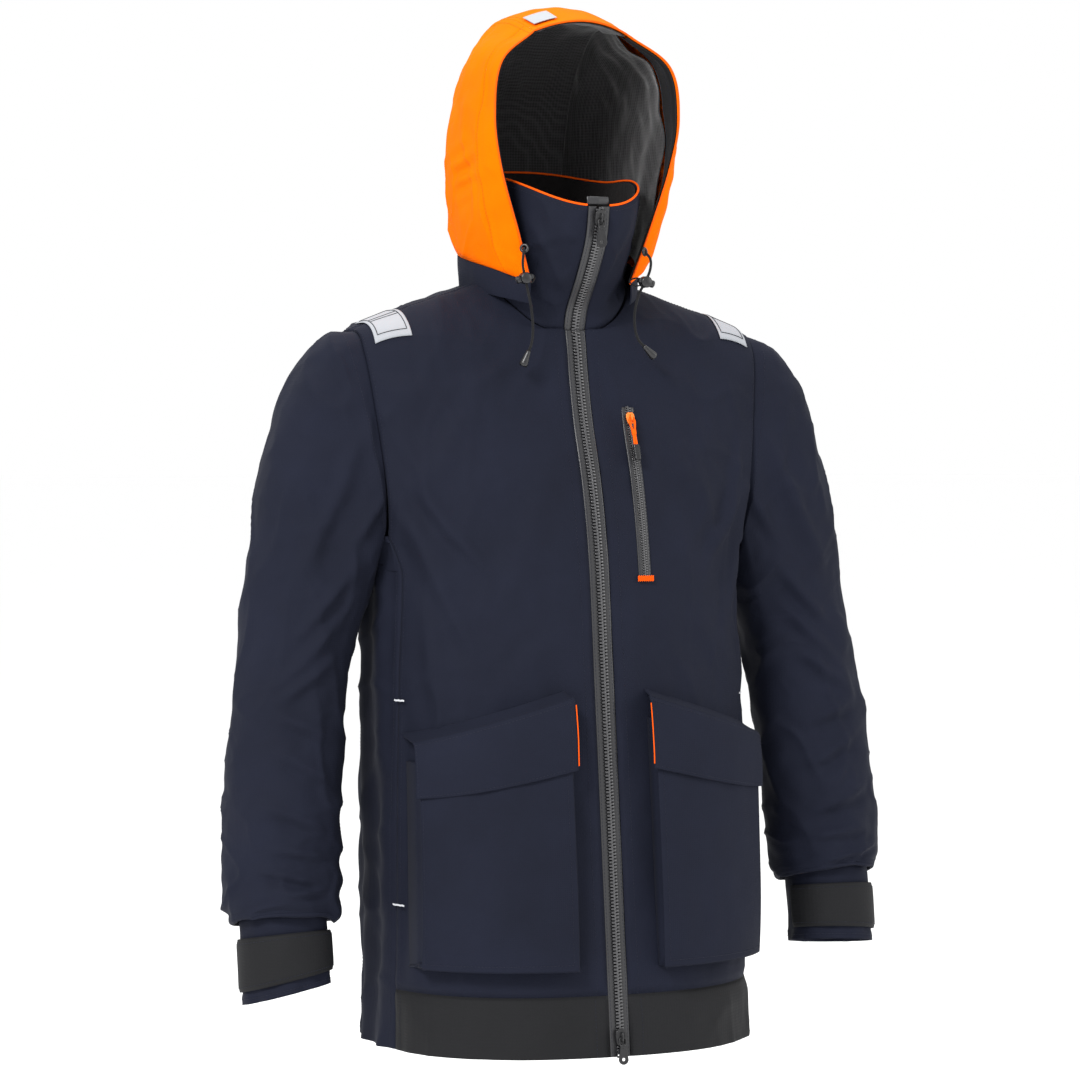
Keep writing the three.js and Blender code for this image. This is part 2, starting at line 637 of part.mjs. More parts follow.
const chestBag = sheet(5, 9, (u, v, depth) => {
  const x = CHEST_BAG.inner + (CHEST_BAG.outer - CHEST_BAG.inner) * u;
  const z = CHEST_BAG.bottom + (CHEST_BAG.top - CHEST_BAG.bottom) * v;
  return onFront(x, z, -CHEST_BAG.behind + depth * CHEST_BAG.thickness);
});
piece("chest_pocket_bag", chestBag, blackMesh);
const CHEST_SLIDER_OUT = chestTeethOut + 2.2; // clears the bulge of the teeth halfway down its travel
const CHEST_SLIDER_TOP = CHEST.top - 12;
const CHEST_TRAVEL = 60;
const chestSliderPoint = onFront(CHEST.x, CHEST_SLIDER_TOP, CHEST_SLIDER_OUT);
const chestAhead = onFront(CHEST.x, CHEST_SLIDER_TOP - CHEST_TRAVEL, CHEST_SLIDER_OUT);
const CHEST_TILT = -Math.atan2(chestSliderPoint.y - chestAhead.y, chestSliderPoint.z - chestAhead.z);
const CHEST_SLIDER = { width: 8, height: 11, thickness: 3 };
const LOOP_RADIUS = 0.65; // the thin loop through the bridge
const TAIL_RADIUS = 2.3; // the sleeved cord below it
const TAIL_END = 30; // from the hinge down to the tip
const TIP = { width: 6.5, length: 17, corner: 2.6, thickness: 4, back: 0.4 };
function cordPull(hinge, material) {
  const loop = [
    [-2.4, -1.2, -14],
    [-3.1, -0.7, -6],
    [-2.7, -0.1, -0.9],
    [0, 0, -0.3],
    [2.7, -0.1, -0.9],
    [3.1, -0.7, -6],
    [2.4, -1.2, -14],
  ];
  const tail = [
    [0, -1.3, -13.5],
    [0, -1.6, -TAIL_END],
  ];
  const whole = solidOf(cord(loop, LOOP_RADIUS, 6, 18)).add(solidOf(cord(tail, TAIL_RADIUS, 8, 2)));
  piece("chest_pull_cord", geometryOf(whole), material, hinge);
  const tip = plate(TIP.width, TIP.length, TIP.corner, TIP.thickness);
  tip.translate(0, TIP.back, -TAIL_END - GAP - TIP.length / 2);
  piece("chest_pull_tip", tip, charcoal, hinge);
}
sliderAt("chest", chestSliderPoint, CHEST_TILT, cordPull, trimOrange, trimOrange, CHEST_SLIDER);

// ---- Lower pockets: bellows bodies open at the top, under sewn-on flaps ----
const POCKET = { inner: 46, outer: 190, bottom: 68, depth: 20, wall: 2.4, floor: 4, backGap: 1.5 };
const FLAP = { inner: 42, outer: 194, top: 345, drop: 74, thickness: 2.6 };
const FLAP_SLANT = 46; // how much lower a flap's seam is at its outer end
const FLAP_NARROWING = 17; // how much less a flap drops at its outer end
const BELOW_SEAM = 23; // from the flap's seam down to the pocket's opening
const HALF_WIDTH = BODY_LEVELS[2][3];
// An x between two others, spaced evenly round the curve of the front instead of straight across.
function evenArc(from, to, u) {
  const angleOf = (x) => Math.asin((x / HALF_WIDTH) ** (ROUNDNESS / 2));
  const angle = angleOf(from) + (angleOf(to) - angleOf(from)) * u;
  return HALF_WIDTH * Math.sin(angle) ** (2 / ROUNDNESS);
}
const flapShare = (x) => (x - FLAP.inner) / (FLAP.outer - FLAP.inner);
const flapTop = (x) => FLAP.top - FLAP_SLANT * flapShare(x);
for (const [name, side] of sides) {
  const pocketAt = (x, z, out) => onFront(side * x, z, out);
  const outer = sheet(10, 5, (u, v, depth) => {
    // the pocket is shallower along its bottom fold and full everywhere else
    const bulge = POCKET.depth * Math.min(1, 0.55 + 0.9 * Math.sin(Math.PI * Math.min(v + 0.1, 0.5)));
    const x = evenArc(POCKET.inner, POCKET.outer, u);
    const z = POCKET.bottom + (flapTop(x) - BELOW_SEAM - POCKET.bottom) * v;
    return pocketAt(x, z, POCKET.backGap + depth * bulge);
  });
  const hollow = sheet(10, 5, (u, v, depth) => {
    const x = evenArc(POCKET.inner + POCKET.wall, POCKET.outer - POCKET.wall, u);
    const floor = POCKET.bottom + POCKET.floor;
    const z = floor + (flapTop(x) - BELOW_SEAM + HOLLOW_RUN + 2 - floor) * v;
    const out = POCKET.backGap + POCKET.wall + depth * (POCKET.depth - 2 * POCKET.wall);
    return pocketAt(x, z, out);
  });
  piece(`pocket_${name}`, geometryOf(cut(solidOf(outer), solidOf(hollow))), navy);
  const flapOut = POCKET.depth + 2.2;
  const flap = sheet(9, 3, (u, v, depth) => {
    const x = evenArc(FLAP.inner, FLAP.outer, u);
    const drop = FLAP.drop - FLAP_NARROWING * flapShare(x);
    return pocketAt(x, flapTop(x) - drop * (1 - v), flapOut + depth * FLAP.thickness);
  });
  piece(`pocket_flap_${name}`, flap, navy);
}

// ---- Hood: two side panels and a centre panel, a navy base, a mesh lining and a front facing ----
const curveOf = (rows, side) => new THREE.CatmullRomCurve3(vectors(mirrored(rows, side)));
// The smooth patch inside four edge curves that share their corners.
function patch(bottom, top, left, right) {
  const corner = [bottom.getPoint(0), bottom.getPoint(1), top.getPoint(0), top.getPoint(1)];
  return (u, v) => {
    const at = new THREE.Vector3();
    at.addScaledVector(bottom.getPoint(u), 1 - v).addScaledVector(top.getPoint(u), v);
    at.addScaledVector(left.getPoint(v), 1 - u).addScaledVector(right.getPoint(v), u);
    at.addScaledVector(corner[0], -(1 - u) * (1 - v)).addScaledVector(corner[1], -u * (1 - v));
    return at.addScaledVector(corner[2], -(1 - u) * v).addScaledVector(corner[3], -u * v);
  };
}
const HEAD_MIDDLE = new THREE.Vector3(0, 0, 905);
function inset(at, distance) {
  const outward = at.clone().sub(HEAD_MIDDLE);
  outward.z *= 0.75;
  return at.clone().addScaledVector(outward.normalize(), -distance);
}
const LINING_BEHIND = FABRIC + 2.4; // the hood's linings hang this far inside the orange cloth
const LINING_THICKNESS = 1.6;
// Where the linings run, as shares of a side panel's width u and height v.
const FACING_SPAN = { u: [0.015, 0.145], v: [0.03, 0.97] };
const MESH_SPAN = { u: [0.17, 0.97], v: [0.07, 0.97] };
const CENTRE_MESH_SPAN = { u: [0.06, 0.94], v: [0.03, 0.95] };
const between = ([from, to], share) => from + (to - from) * share;
const HOOD_BULGE = 7;
const HOOD_ROLL = 8; // how far the lower face edge rolls in towards the chin
const CROWN_BULGE = 14; // rise of the centre panel over its two seams
function hoodSide(side) {
  const base = patch(
    curveOf(HOOD_SEAM, side),
    curveOf(HOOD_CROWN_SEAM, side),
    curveOf(HOOD_RIM, side),
    curveOf(HOOD_BACK_SEAM, side),
  );
  return (u, v) => {
    const at = base(u, v);
    const bulge = HOOD_BULGE * Math.sin(Math.PI * u) * Math.sin(Math.PI * v);
    const roll = HOOD_ROLL * (1 - Math.exp(-u / 0.07)) * (1 - u) * Math.sin(Math.PI * Math.min(1, v / 0.7));
    return at.setX(at.x + side * (bulge + roll));
  };
}
// The centre strip: u across from the right seam to the left one, v from the rim over the crown to the nape.
const crown = [...HOOD_CROWN_SEAM, ...HOOD_BACK_SEAM.slice(0, -1).reverse()];
function hoodCentre(u, v) {
  const right = curveOf(crown, -1).getPoint(v);
  const left = curveOf(crown, 1).getPoint(v);
  const at = right.clone().lerp(left, u);
  const outward = at.clone().setX(0).sub(HEAD_MIDDLE);
  outward.z *= outward.z < 0 ? 0.1 : 1;
  outward.normalize();
  return at.addScaledVector(outward, CROWN_BULGE * (1 - (2 * u - 1) ** 2));
}
for (const [name, side] of sides) {
  const surface = hoodSide(side);
  const panel = sheet(9, 9, (u, v, depth) => inset(surface(u, v * 0.995), (1 - depth) * FABRIC));
  piece(`hood_side_${name}`, panel, orange);
  const lining = (span) => (u, v, depth) =>
    inset(surface(between(span.u, u), between(span.v, v)), LINING_BEHIND + (1 - depth) * LINING_THICKNESS);
  piece(`hood_facing_${name}`, sheet(2, 8, lining(FACING_SPAN)), blackMesh);
  const mesh = sheet(7, 7, lining(MESH_SPAN));
  piece(`hood_mesh_lining_${name}`, mesh, blackMesh);
}
const CENTRE_SPAN = [0.012, 0.988]; // leaves a hair of room at both of its seams
piece(
  "hood_centre_panel",
  sheet(6, 18, (u, v, depth) => inset(hoodCentre(between(CENTRE_SPAN, u), v), (1 - depth) * FABRIC)),
  orange,
);
piece(
  "hood_mesh_lining_centre",
  sheet(4, 14, (u, v, depth) => {
    const at = hoodCentre(between(CENTRE_MESH_SPAN.u, u), between(CENTRE_MESH_SPAN.v, v));
    return inset(at, LINING_BEHIND + (1 - depth) * LINING_THICKNESS);
  }),
  blackMesh,
);
// The navy strip between the neck seam and the hood.
const NAPE = [0, 92, 809];
const seamAround = [...mirrored(HOOD_SEAM, -1), NAPE, ...[...HOOD_SEAM].reverse()];
const seamCurve = new THREE.CatmullRomCurve3(vectors(seamAround));
const BASE_STRIP = { drop: 14, deeper: 0.04, below: 5, flare: 0.02 }; // it deepens towards the nape
piece(
  "hood_base",
  sheet(24, 1, (u, v, depth) => {
    const top = seamCurve.getPoint(u);
    const drop = (1 - v) * (BASE_STRIP.drop + BASE_STRIP.deeper * (top.y - HOOD_SEAM[0][1]));
    const at = top.clone().setZ(top.z - BASE_STRIP.below - drop);
    at.x *= 1 + BASE_STRIP.flare * (1 - v);
    return at.sub(new THREE.Vector3(at.x, at.y, 0).normalize().multiplyScalar((1 - depth) * FABRIC));
  }),
  navy,
);

// ---- Reflective patches on the shoulders and the hood ----
// A patch lies over the shoulder seam: x from its inner to its outer edge, y from its front to its back edge.
const SHOULDER_PATCH = { inner: 177, outer: 216, front: -55, back: 20, skew: 11 };
const PATCH_LIFT = 2.8; // clears the flat facets of the shoulder
const PATCH_THICKNESS = 0.9;
const HOOD_PATCH = { u: [0.1, 0.34], v: [0.02, 0.08] }; // shares of the hood's centre panel

// The top of the shoulder at a given x and y.
function onShoulder(x, y, outward) {
  const spread = (t) => {
    const reach = along(BODY_LEVELS, y < 0 ? 4 : 5, t);
    return Math.abs(x / along(BODY_LEVELS, 3, t)) ** ROUNDNESS + Math.abs(y / reach) ** ROUNDNESS;
  };
  let [t0, t1] = [0.62, 1];
  for (let k = 0; k < 24; k++) {
    const middle = (t0 + t1) / 2;
    if (spread(middle) < 1) t0 = middle;
    else t1 = middle;
  }
  const s2 = Math.abs(y / along(BODY_LEVELS, y < 0 ? 4 : 5, t0)) ** ROUNDNESS;
  const side = along(BODY_LEVELS, 0, t0);
  const height = side + (along(BODY_LEVELS, y < 0 ? 1 : 2, t0) - side) * s2;
  return new THREE.Vector3(x, y, height + outward);
}
function shoulderPatch(side, u, v, outward) {
  const front = SHOULDER_PATCH.front + SHOULDER_PATCH.skew * u;
  const x = SHOULDER_PATCH.inner + (SHOULDER_PATCH.outer - SHOULDER_PATCH.inner) * u;
  return onShoulder(side * x, front + (SHOULDER_PATCH.back - front) * v, outward);
}
for (const [name, side] of sides) {
  const patchPlate = sheet(6, 5, (u, v, depth) => shoulderPatch(side, u, v, PATCH_LIFT + depth * PATCH_THICKNESS));
  piece(`shoulder_reflector_${name}`, patchPlate, reflective);
}
piece(
  "hood_reflector",
  sheet(3, 2, (u, v, depth) => {
    const at = hoodCentre(between(HOOD_PATCH.u, u), between(HOOD_PATCH.v, v));
    return inset(at, -GAP - depth * PATCH_THICKNESS);
  }),
  reflective,
);

// ---- Hood drawcords: eyelet, cord, anchored lock with its plunger, and a bell end ----
// Each cord hangs from its eyelet over the collar; the routes are laid by hand for each side.
const CORD_ROUTES = {
  right: [
    [-68, -100, 803],
    [-72, -108, 796],
    [-73, -109, 785],
    [-70, -108, 772],
    [-66, -106, 758],
    [-61, -103, 740],
    [-59, -102, 720],
    [-60, -101, 706],
    [-63, -100, 697],
  ],
  left: [
    [67, -100, 802],
    [70, -108, 794],
    [69, -110, 783],
    [64, -109, 770],
    [58, -107, 758],
    [54, -105, 740],
    [55, -103, 722],
    [60, -101, 710],
    [67, -100, 703],
  ],
};
// Half outlines of the turned parts: radius, then height.
const GROMMET = [[2.8, -1], [5.2, -1], [5.2, 0], [3.9, 1.2], [2.8, 1.2], [2.8, -1]];
const BELL = [[0, 0], [2.4, 0], [3.4, -5], [4.6, -13], [4.2, -16], [0, -16]];
const turned = (outline, sides) =>
  new THREE.LatheGeometry(outline.map(([radius, height]) => new THREE.Vector2(radius, height)), sides);
const GROMMET_LEAN = 0.15; // the eyelet looks a little up and to its own side
const GROMMET_TURN = 0.65;
const LOCK = { radius: 6, length: 11, bore: CORD_RADIUS + 1.7, turn: 0.25 };
const PLUNGER = { radius: 3.9, length: 6, at: 6.6, socket: 4.4, socketLength: 8, socketAt: 5 };

for (const [name, side] of sides) {
  const route = CORD_ROUTES[name];
  const grommet = turned(GROMMET, 16);
  grommet.rotateX(-Math.PI / 2 - GROMMET_LEAN);
  grommet.rotateZ(side * GROMMET_TURN);
  grommet.translate(route[0][0], route[0][1] - 0.6, route[0][2]);
  piece(`eyelet_${name}`, facingOut(grommet), plasticBlack);
  piece(`drawcord_${name}`, cord(route, CORD_RADIUS, 8, 34), cordBlack);

  // The lock sits where the cord passes it, a barrel pressed round the cord with a plunger on top.
  const lockAt = new THREE.Vector3(route[3][0], route[3][1], route[3][2]);
  const group = new THREE.Group();
  group.position.copy(lockAt);
  group.rotation.set(0, side * LOCK.turn, 0);
  layout.add(group);
  const barrel = new THREE.CylinderGeometry(LOCK.radius, LOCK.radius, LOCK.length, 18).rotateX(Math.PI / 2);
  const passage = route.map(([x, y, z]) => [x - lockAt.x, y - lockAt.y, z - lockAt.z]);
  const socket = new THREE.CylinderGeometry(PLUNGER.socket, PLUNGER.socket, PLUNGER.socketLength, 16);
  socket.rotateZ(Math.PI / 2).translate(side * PLUNGER.socketAt, 0, 0);
  const bored = cut(solidOf(barrel), solidOf(cord(passage, LOCK.bore, 8, 34)), solidOf(socket));
  piece(`cord_lock_${name}`, geometryOf(bored), plasticBlack, group);
  const plunger = new THREE.CylinderGeometry(PLUNGER.radius, PLUNGER.radius, PLUNGER.length, 16);
  plunger.rotateZ(Math.PI / 2).translate(side * PLUNGER.at, 0, 0);
  piece(`lock_plunger_${name}`, facingOut(plunger), plasticBlack, group);

  const last = route[route.length - 1];
  const before = route[route.length - 2];
  const bell = turned(BELL, 14);
  bell.rotateX(Math.PI / 2);
  bell.rotateY(-Math.atan2(last[0] - before[0], before[2] - last[2]));
  bell.translate(last[0] + (last[0] - before[0]) * 0.04, last[1], last[2] - GAP - 0.4);
  piece(`cord_end_${name}`, facingOut(bell), plasticBlack);
}

// ---- Hang loop: a tape bridge inside the back of the neck ----
const HANG_LOOP = { half: 30, bottom: 802, height: 8, thickness: 1.2, standOff: 7.5, behind: FABRIC + 7.2 };
const loopWall = ringPoint(COLLAR_LEVELS, Math.PI / 2, 0.3, -HANG_LOOP.behind);
const hangLoop = sheet(12, 1, (u, v, depth) => {
  const across = 2 * u - 1;
  const standOff = HANG_LOOP.standOff * Math.sin(Math.PI * u) ** 0.7;
  const y = loopWall.y - 0.6 * Math.abs(across) - standOff - depth * HANG_LOOP.thickness;
  return new THREE.Vector3(HANG_LOOP.half * across, y, HANG_LOOP.bottom + HANG_LOOP.height * v);
});
piece("hang_loop", hangLoop, navy);

export default jacket;
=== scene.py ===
"""A foul weather jacket: high orange hood, two-way front zip, bellows pockets and strapped cuffs.

The shapes are laid out in millimetres from a level line just above the hem, as in the part's source. They are
then scaled to metres and moved so that the hang loop is the origin.
"""
import json
import math

import bmesh
import bpy
import numpy as np
from mathutils import Matrix, Vector, noise


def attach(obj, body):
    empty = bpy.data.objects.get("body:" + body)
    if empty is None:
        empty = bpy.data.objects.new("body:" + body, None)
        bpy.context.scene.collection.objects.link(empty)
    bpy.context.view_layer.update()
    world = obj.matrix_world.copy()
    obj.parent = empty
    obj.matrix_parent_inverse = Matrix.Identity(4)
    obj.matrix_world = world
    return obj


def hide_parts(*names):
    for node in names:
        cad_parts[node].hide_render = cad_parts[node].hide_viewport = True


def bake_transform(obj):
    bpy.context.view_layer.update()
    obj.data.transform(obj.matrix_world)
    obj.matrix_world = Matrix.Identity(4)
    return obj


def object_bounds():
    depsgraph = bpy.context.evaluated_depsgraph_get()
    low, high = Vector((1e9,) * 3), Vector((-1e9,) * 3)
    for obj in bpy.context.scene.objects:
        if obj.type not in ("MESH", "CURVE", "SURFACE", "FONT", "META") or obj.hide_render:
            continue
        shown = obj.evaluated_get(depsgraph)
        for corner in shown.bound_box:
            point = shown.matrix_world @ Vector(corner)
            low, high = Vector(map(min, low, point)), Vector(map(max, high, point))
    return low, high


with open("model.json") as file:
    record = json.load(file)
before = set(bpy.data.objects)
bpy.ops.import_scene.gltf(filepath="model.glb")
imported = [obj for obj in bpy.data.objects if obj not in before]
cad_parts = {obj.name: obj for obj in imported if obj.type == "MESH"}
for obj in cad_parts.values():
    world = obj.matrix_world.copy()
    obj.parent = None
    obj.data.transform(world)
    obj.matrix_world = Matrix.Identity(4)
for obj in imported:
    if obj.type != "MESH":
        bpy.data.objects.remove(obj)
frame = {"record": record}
cad_bounds = [list(map(float, p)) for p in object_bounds()]
record = frame["record"]

MM = 0.001
HANG = np.array([0.0, 66.0, 806.0])  # the hang loop in the layout
ROUNDNESS = 2.4
SIDES = (("right", -1), ("left", 1))
SLEEVE_DROP = 12  # the wearer's left sleeve hangs this much higher and the right one this much lower
ZIP_EDGE = 11.2  # from the centre front to the edge of a zip tape
SHELL = 1.3 * MM  # thickness of the shell cloth

# side height, front height, back height, half width, front reach, back reach
BODY = np.array([
    [-21, -21, -21, 204, 194.4, 125],
    [120, 120, 120, 204, 178.5, 125],
    [240, 240, 240, 205, 165, 125],
    [360, 360, 360, 205, 151, 125],
    [480, 480, 480, 205, 137, 127],
    [560, 560, 560, 230, 119, 128],
    [625, 620, 630, 247, 97, 126],
    [682, 668, 690, 248, 84, 118],
    [716, 700, 730, 228, 78, 108],
    [737, 713, 755, 184, 75, 98],
    [756, 720, 772, 128, 73, 88],
    [772, 716, 785, 82, 72, 82],
], float)
COLLAR = np.array([
    [774.5, 718.8, 787.5, 80, 71, 80],
    [792, 742, 808, 76, 79, 78],
    [812, 775, 836, 75, 106, 78],
    [842, 811, 866, 77, 130, 80],
    [880, 845, 893, 79, 138, 82],
], float)
# the lower sleeve, from above the elbow to the gathered end: x, y, z, half width, half depth
SLEEVE = np.array([
    [288, -5, 373, 58, 60],
    [302, -15, 267, 60, 60],
    [308, -34, 150, 59, 58],
    [309, -38, 128, 48, 48],
], float)
# the line that parts a sleeve from the body, x and z
ARMHOLE = np.array([
    [222, 700], [211, 600], [201, 512], [205.6, 470], [208, 440], [218, 373], [228, 267], [230, -60],
], float)
HOOD_SEAM = [[56, -88, 768], [80, -48, 783], [91, 0, 794], [84, 46, 802], [50, 80, 807]]
HOOD_RIM = [
    [56, -88, 768], [72, -96, 817], [94, -102, 885], [103, -107, 941], [94, -104, 994], [52, -88, 1028]
]
CROWN_SEAM = [[52, -88, 1028], [57, -30, 1045], [60, 20, 1041], [61, 64, 1009]]
BACK_SEAM = [[50, 80, 807], [54, 98, 850], [58, 101, 905], [61, 91, 962], [61, 64, 1009]]


# ---- Forms -------------------------------------------------------------------------------------------------

def along(levels, column, t):
    """A smooth value along one column of a table of levels."""
    last = len(levels) - 1
    at = np.clip(t, 0, 1) * last
    k = np.minimum(np.floor(at).astype(int), last - 1)
    f = at - k
    p = [levels[np.clip(k + i, 0, last), column] for i in (-1, 0, 1, 2)]
    slope0, slope1 = (p[2] - p[0]) / 2, (p[3] - p[1]) / 2
    f2, f3 = f * f, f * f * f
    start = (2 * f3 - 3 * f2 + 1) * p[1] + (f3 - 2 * f2 + f) * slope0
    return start + (3 * f2 - 2 * f3) * p[2] + (f3 - f2) * slope1


def rounded(s):
    return np.sign(s) * np.abs(s) ** (2 / ROUNDNESS)


def ring(levels, angle, t, out=0.0):
    """Points of the body or collar, in millimetres from the hem; -90 degrees is the front."""
    angle, t, out = np.broadcast_arrays(angle, t, out)
    c, s = np.cos(angle), np.sin(angle)
    side, front, back, wide, ahead, behind = (along(levels, k, t) for k in range(6))
    reach = np.where(s < 0, ahead, behind) + out
    height = side + (np.where(s < 0, front, back) - side) * s * s
    return np.stack([(wide + out) * rounded(c), reach * rounded(s), height], -1)


def angle_at_x(levels, t, x):
    """How far round from the side (0) to the front or back (90 degrees) the ring has this half width."""
    share = np.clip(np.abs(x) / along(levels, 3, t), 0, 1)
    return np.arccos(share ** (ROUNDNESS / 2))


def on_front(x, z, out=0.0):
    """The front surface at x and z."""
    x, z, out = np.broadcast_arrays(np.asarray(x, float), np.asarray(z, float), np.asarray(out, float))
    steps = np.linspace(0, 1, 400)
    t = np.interp(z, along(BODY, 1, steps), steps)
    wide, reach = along(BODY, 3, t) + out, along(BODY, 4, t) + out
    share = np.clip(1 - np.abs(x / wide) ** ROUNDNESS, 0, 1) ** (1 / ROUNDNESS)
    return np.stack([x, -reach * share, z], -1)


def armhole_x(z):
    return np.interp(z, ARMHOLE[::-1, 1], ARMHOLE[::-1, 0])


def smooth_line(rows, t):
    """Points at t (0 to 1) on a smooth line through rows."""
    p = np.array(rows, float)
    p = np.vstack([2 * p[0] - p[1], p, 2 * p[-1] - p[-2]])
    last = len(rows) - 1
    at = np.clip(np.asarray(t, float), 0, 1) * last
    k = np.minimum(np.floor(at).astype(int), last - 1)
    f = (at - k)[..., None]
    a, b, c, d = p[k], p[k + 1], p[k + 2], p[k + 3]
    return 0.5 * (2 * b + (c - a) * f + (2 * a - 5 * b + 4 * c - d) * f**2 + (3 * b - 3 * c + d - a) * f**3)


def patch(bottom, top, left, right, u, v):
    """The smooth patch inside four edge lines that share their corners."""
    u3, v3 = u[..., None], v[..., None]
    b, t = smooth_line(bottom, u), smooth_line(top, u)
    le, r = smooth_line(left, v), smooth_line(right, v)
    corners = (
        np.array(bottom[0]) * (1 - u3) * (1 - v3) + np.array(bottom[-1]) * u3 * (1 - v3)
        + np.array(top[0]) * (1 - u3) * v3 + np.array(top[-1]) * u3 * v3
    )
    return b * (1 - v3) + t * v3 + le * (1 - u3) + r * u3 - corners


def normals_of(p, outward_from):
    """Unit normals of a grid of points, facing away from the points given."""
    du = np.gradient(p, axis=1)
    dv = np.gradient(p, axis=0)
    n = np.cross(du, dv)
    n /= np.maximum(np.linalg.norm(n, axis=-1, keepdims=True), 1e-9)
    flip = np.sum(n * (p - outward_from), -1, keepdims=True) < 0
    return np.where(flip, -n, n)


def ring_normals(levels, angle, t):
    """Unit normals of the body's or collar's plain form. Panels that share a seam get the same ones there."""
    step = 0.004
    around = ring(levels, angle + step, t) - ring(levels, angle - step, t)
    up = ring(levels, angle, np.minimum(t + step, 1)) - ring(levels, angle, np.maximum(t - step, 0))
    n = np.cross(around, up)
    return n / np.maximum(np.linalg.norm(n, axis=-1, keepdims=True), 1e-9)


def allowance(p, n, edges, depth=4.0):
    """Adds the seam allowance: along each edge named, one more row of points turned in behind the cloth."""
    for edge in edges:
        axis = 1 if edge in ("left", "right") else 0
        first = edge in ("left", "bottom")
        row, facing = (np.take(a, [0 if first else -1], axis=axis) for a in (p, n))
        place_along = np.arange(p.shape[1 - axis])
        from_end = np.minimum(place_along, place_along[::-1])
        taper = np.clip(from_end / 6, 0, 1)
        taper = taper[:, None, None] if axis == 1 else taper[None, :, None]
        fold = row - facing * depth * taper
        p = np.concatenate([fold, p] if first else [p, fold], axis)
        n = np.concatenate([facing, n] if first else [n, facing], axis)
    return p


def ripple(p, scale, seed):
    """Soft random waviness between -1 and 1 at each point; scale is the wave's size along x, y and z."""
    q = p / np.array(scale) + seed * 7.31
    flat = [noise.noise(Vector(v)) for v in q.reshape(-1, 3)]
    return np.array(flat).reshape(p.shape[:-1])


def fold_lines(p, scale, seed):
    """Thin raised creases between 0 and 1, the sharp folds that stiff shell cloth keeps."""
    return np.clip(1 - 4.5 * np.abs(ripple(p, scale, seed)), 0, 1) ** 1.6


def creases(p, rows):
    """Folds: each row is a start, an end, a half width and a height. A ridge stands beside its own valley."""
    total = np.zeros(p.shape[:-1])
    for start, end, width, height in rows:
        a, b = np.array(start, float), np.array(end, float)
        along_fold = b - a
        s = np.sum((p - a) * along_fold, -1) / np.dot(along_fold, along_fold)
        nearest = a + np.clip(s, 0, 1)[..., None] * along_fold
        away = p - nearest
        distance = np.linalg.norm(away, axis=-1)
        side = np.cross(along_fold, [0, 1.0, 0])
        side /= np.linalg.norm(side)
        signed = np.sum(away * side, -1) / width
        reach = np.exp(-((distance / width) ** 2) * 0.5)
        taper = np.clip(np.minimum(s + 0.15, 1.15 - s) / 0.45, 0, 1)
        total += height * taper * reach * (1.1 * np.exp(-(signed**2)) - 0.55 + 0.5 * np.tanh(2.2 * signed))
    return total


# ---- Meshes ------------------------------------------------------------------------------------------------

def to_row(p):
    return (np.asarray(p, float) - HANG) * MM


def new_object(name, data):
    o = bpy.data.objects.new(name, data)
    bpy.context.scene.collection.objects.link(o)
    return o


def grid_faces(rows, columns, closed=False):
    faces = []
    across = columns if closed else columns - 1
    for j in range(rows - 1):
        for i in range(across):
            k = (i + 1) % columns
            faces.append((j * columns + i, j * columns + k, (j + 1) * columns + k, (j + 1) * columns + i))
    return faces


def grid(name, p, closed=False):
    """A smooth surface through a grid of points given in millimetres from the hem."""
    rows, columns = p.shape[:2]
    mesh = bpy.data.meshes.new(name)
    mesh.from_pydata(to_row(p).reshape(-1, 3).tolist(), [], grid_faces(rows, columns, closed))
    mesh.shade_smooth()
    return new_object(name, mesh)


def face_outwards(o, centre_line=(0.0, 0.0)):
    """Turns the faces so that their normals point away from an upright line."""
    mesh = o.data
    total = 0.0
    for f in mesh.polygons:
        c = f.center
        total += f.normal.x * (c.x - centre_line[0]) + f.normal.y * (c.y - centre_line[1])
    if total < 0:
        mesh.flip_normals()


def thicken(o, thickness=SHELL, offset=-1.0):
    """Cloth has two faces: the sheet grows inwards by its thickness."""
    m = o.modifiers.new("thickness", "SOLIDIFY")
    m.thickness = thickness
    m.offset = offset
    m.use_even_offset = False
    return o


def use_first_material(o):
    """Joined parts keep their own material numbers, so each face is set to the object's only material."""
    for polygon in o.data.polygons:
        polygon.material_index = 0


def apply_all(o):
    """Turns an object and its modifiers, or a curve, into a plain mesh."""
    depsgraph = bpy.context.evaluated_depsgraph_get()
    mesh = bpy.data.meshes.new_from_object(o.evaluated_get(depsgraph))
    name, matrix, mats = o.name, o.matrix_world.copy(), list(o.data.materials)
    bpy.data.objects.remove(o)
    out = new_object(name, mesh)
    out.matrix_world = matrix
    if mats and not mesh.materials:
        for m in mats:
            mesh.materials.append(m)
    return out


def join(objects, name):
    """One object made of several."""
    bm = bmesh.new()
    materials = []
    for o in objects:
        mesh = o.data
        part = bmesh.new()
        part.from_mesh(mesh)
        part.transform(o.matrix_world)
        shift = []
        for m in mesh.materials:
            if m not in materials:
                materials.append(m)
            shift.append(materials.index(m))
        for f in part.faces:
            f.material_index = shift[f.material_index] if shift else 0
        temporary = bpy.data.meshes.new("part")
        part.to_mesh(temporary)
        part.free()
        bm.from_mesh(temporary)
        bpy.data.meshes.remove(temporary)
    mesh = bpy.data.meshes.new(name)
    bm.to_mesh(mesh)
    bm.free()
    for m in materials:
        mesh.materials.append(m)
    for o in objects:
        bpy.data.objects.remove(o)
    return new_object(name, mesh)


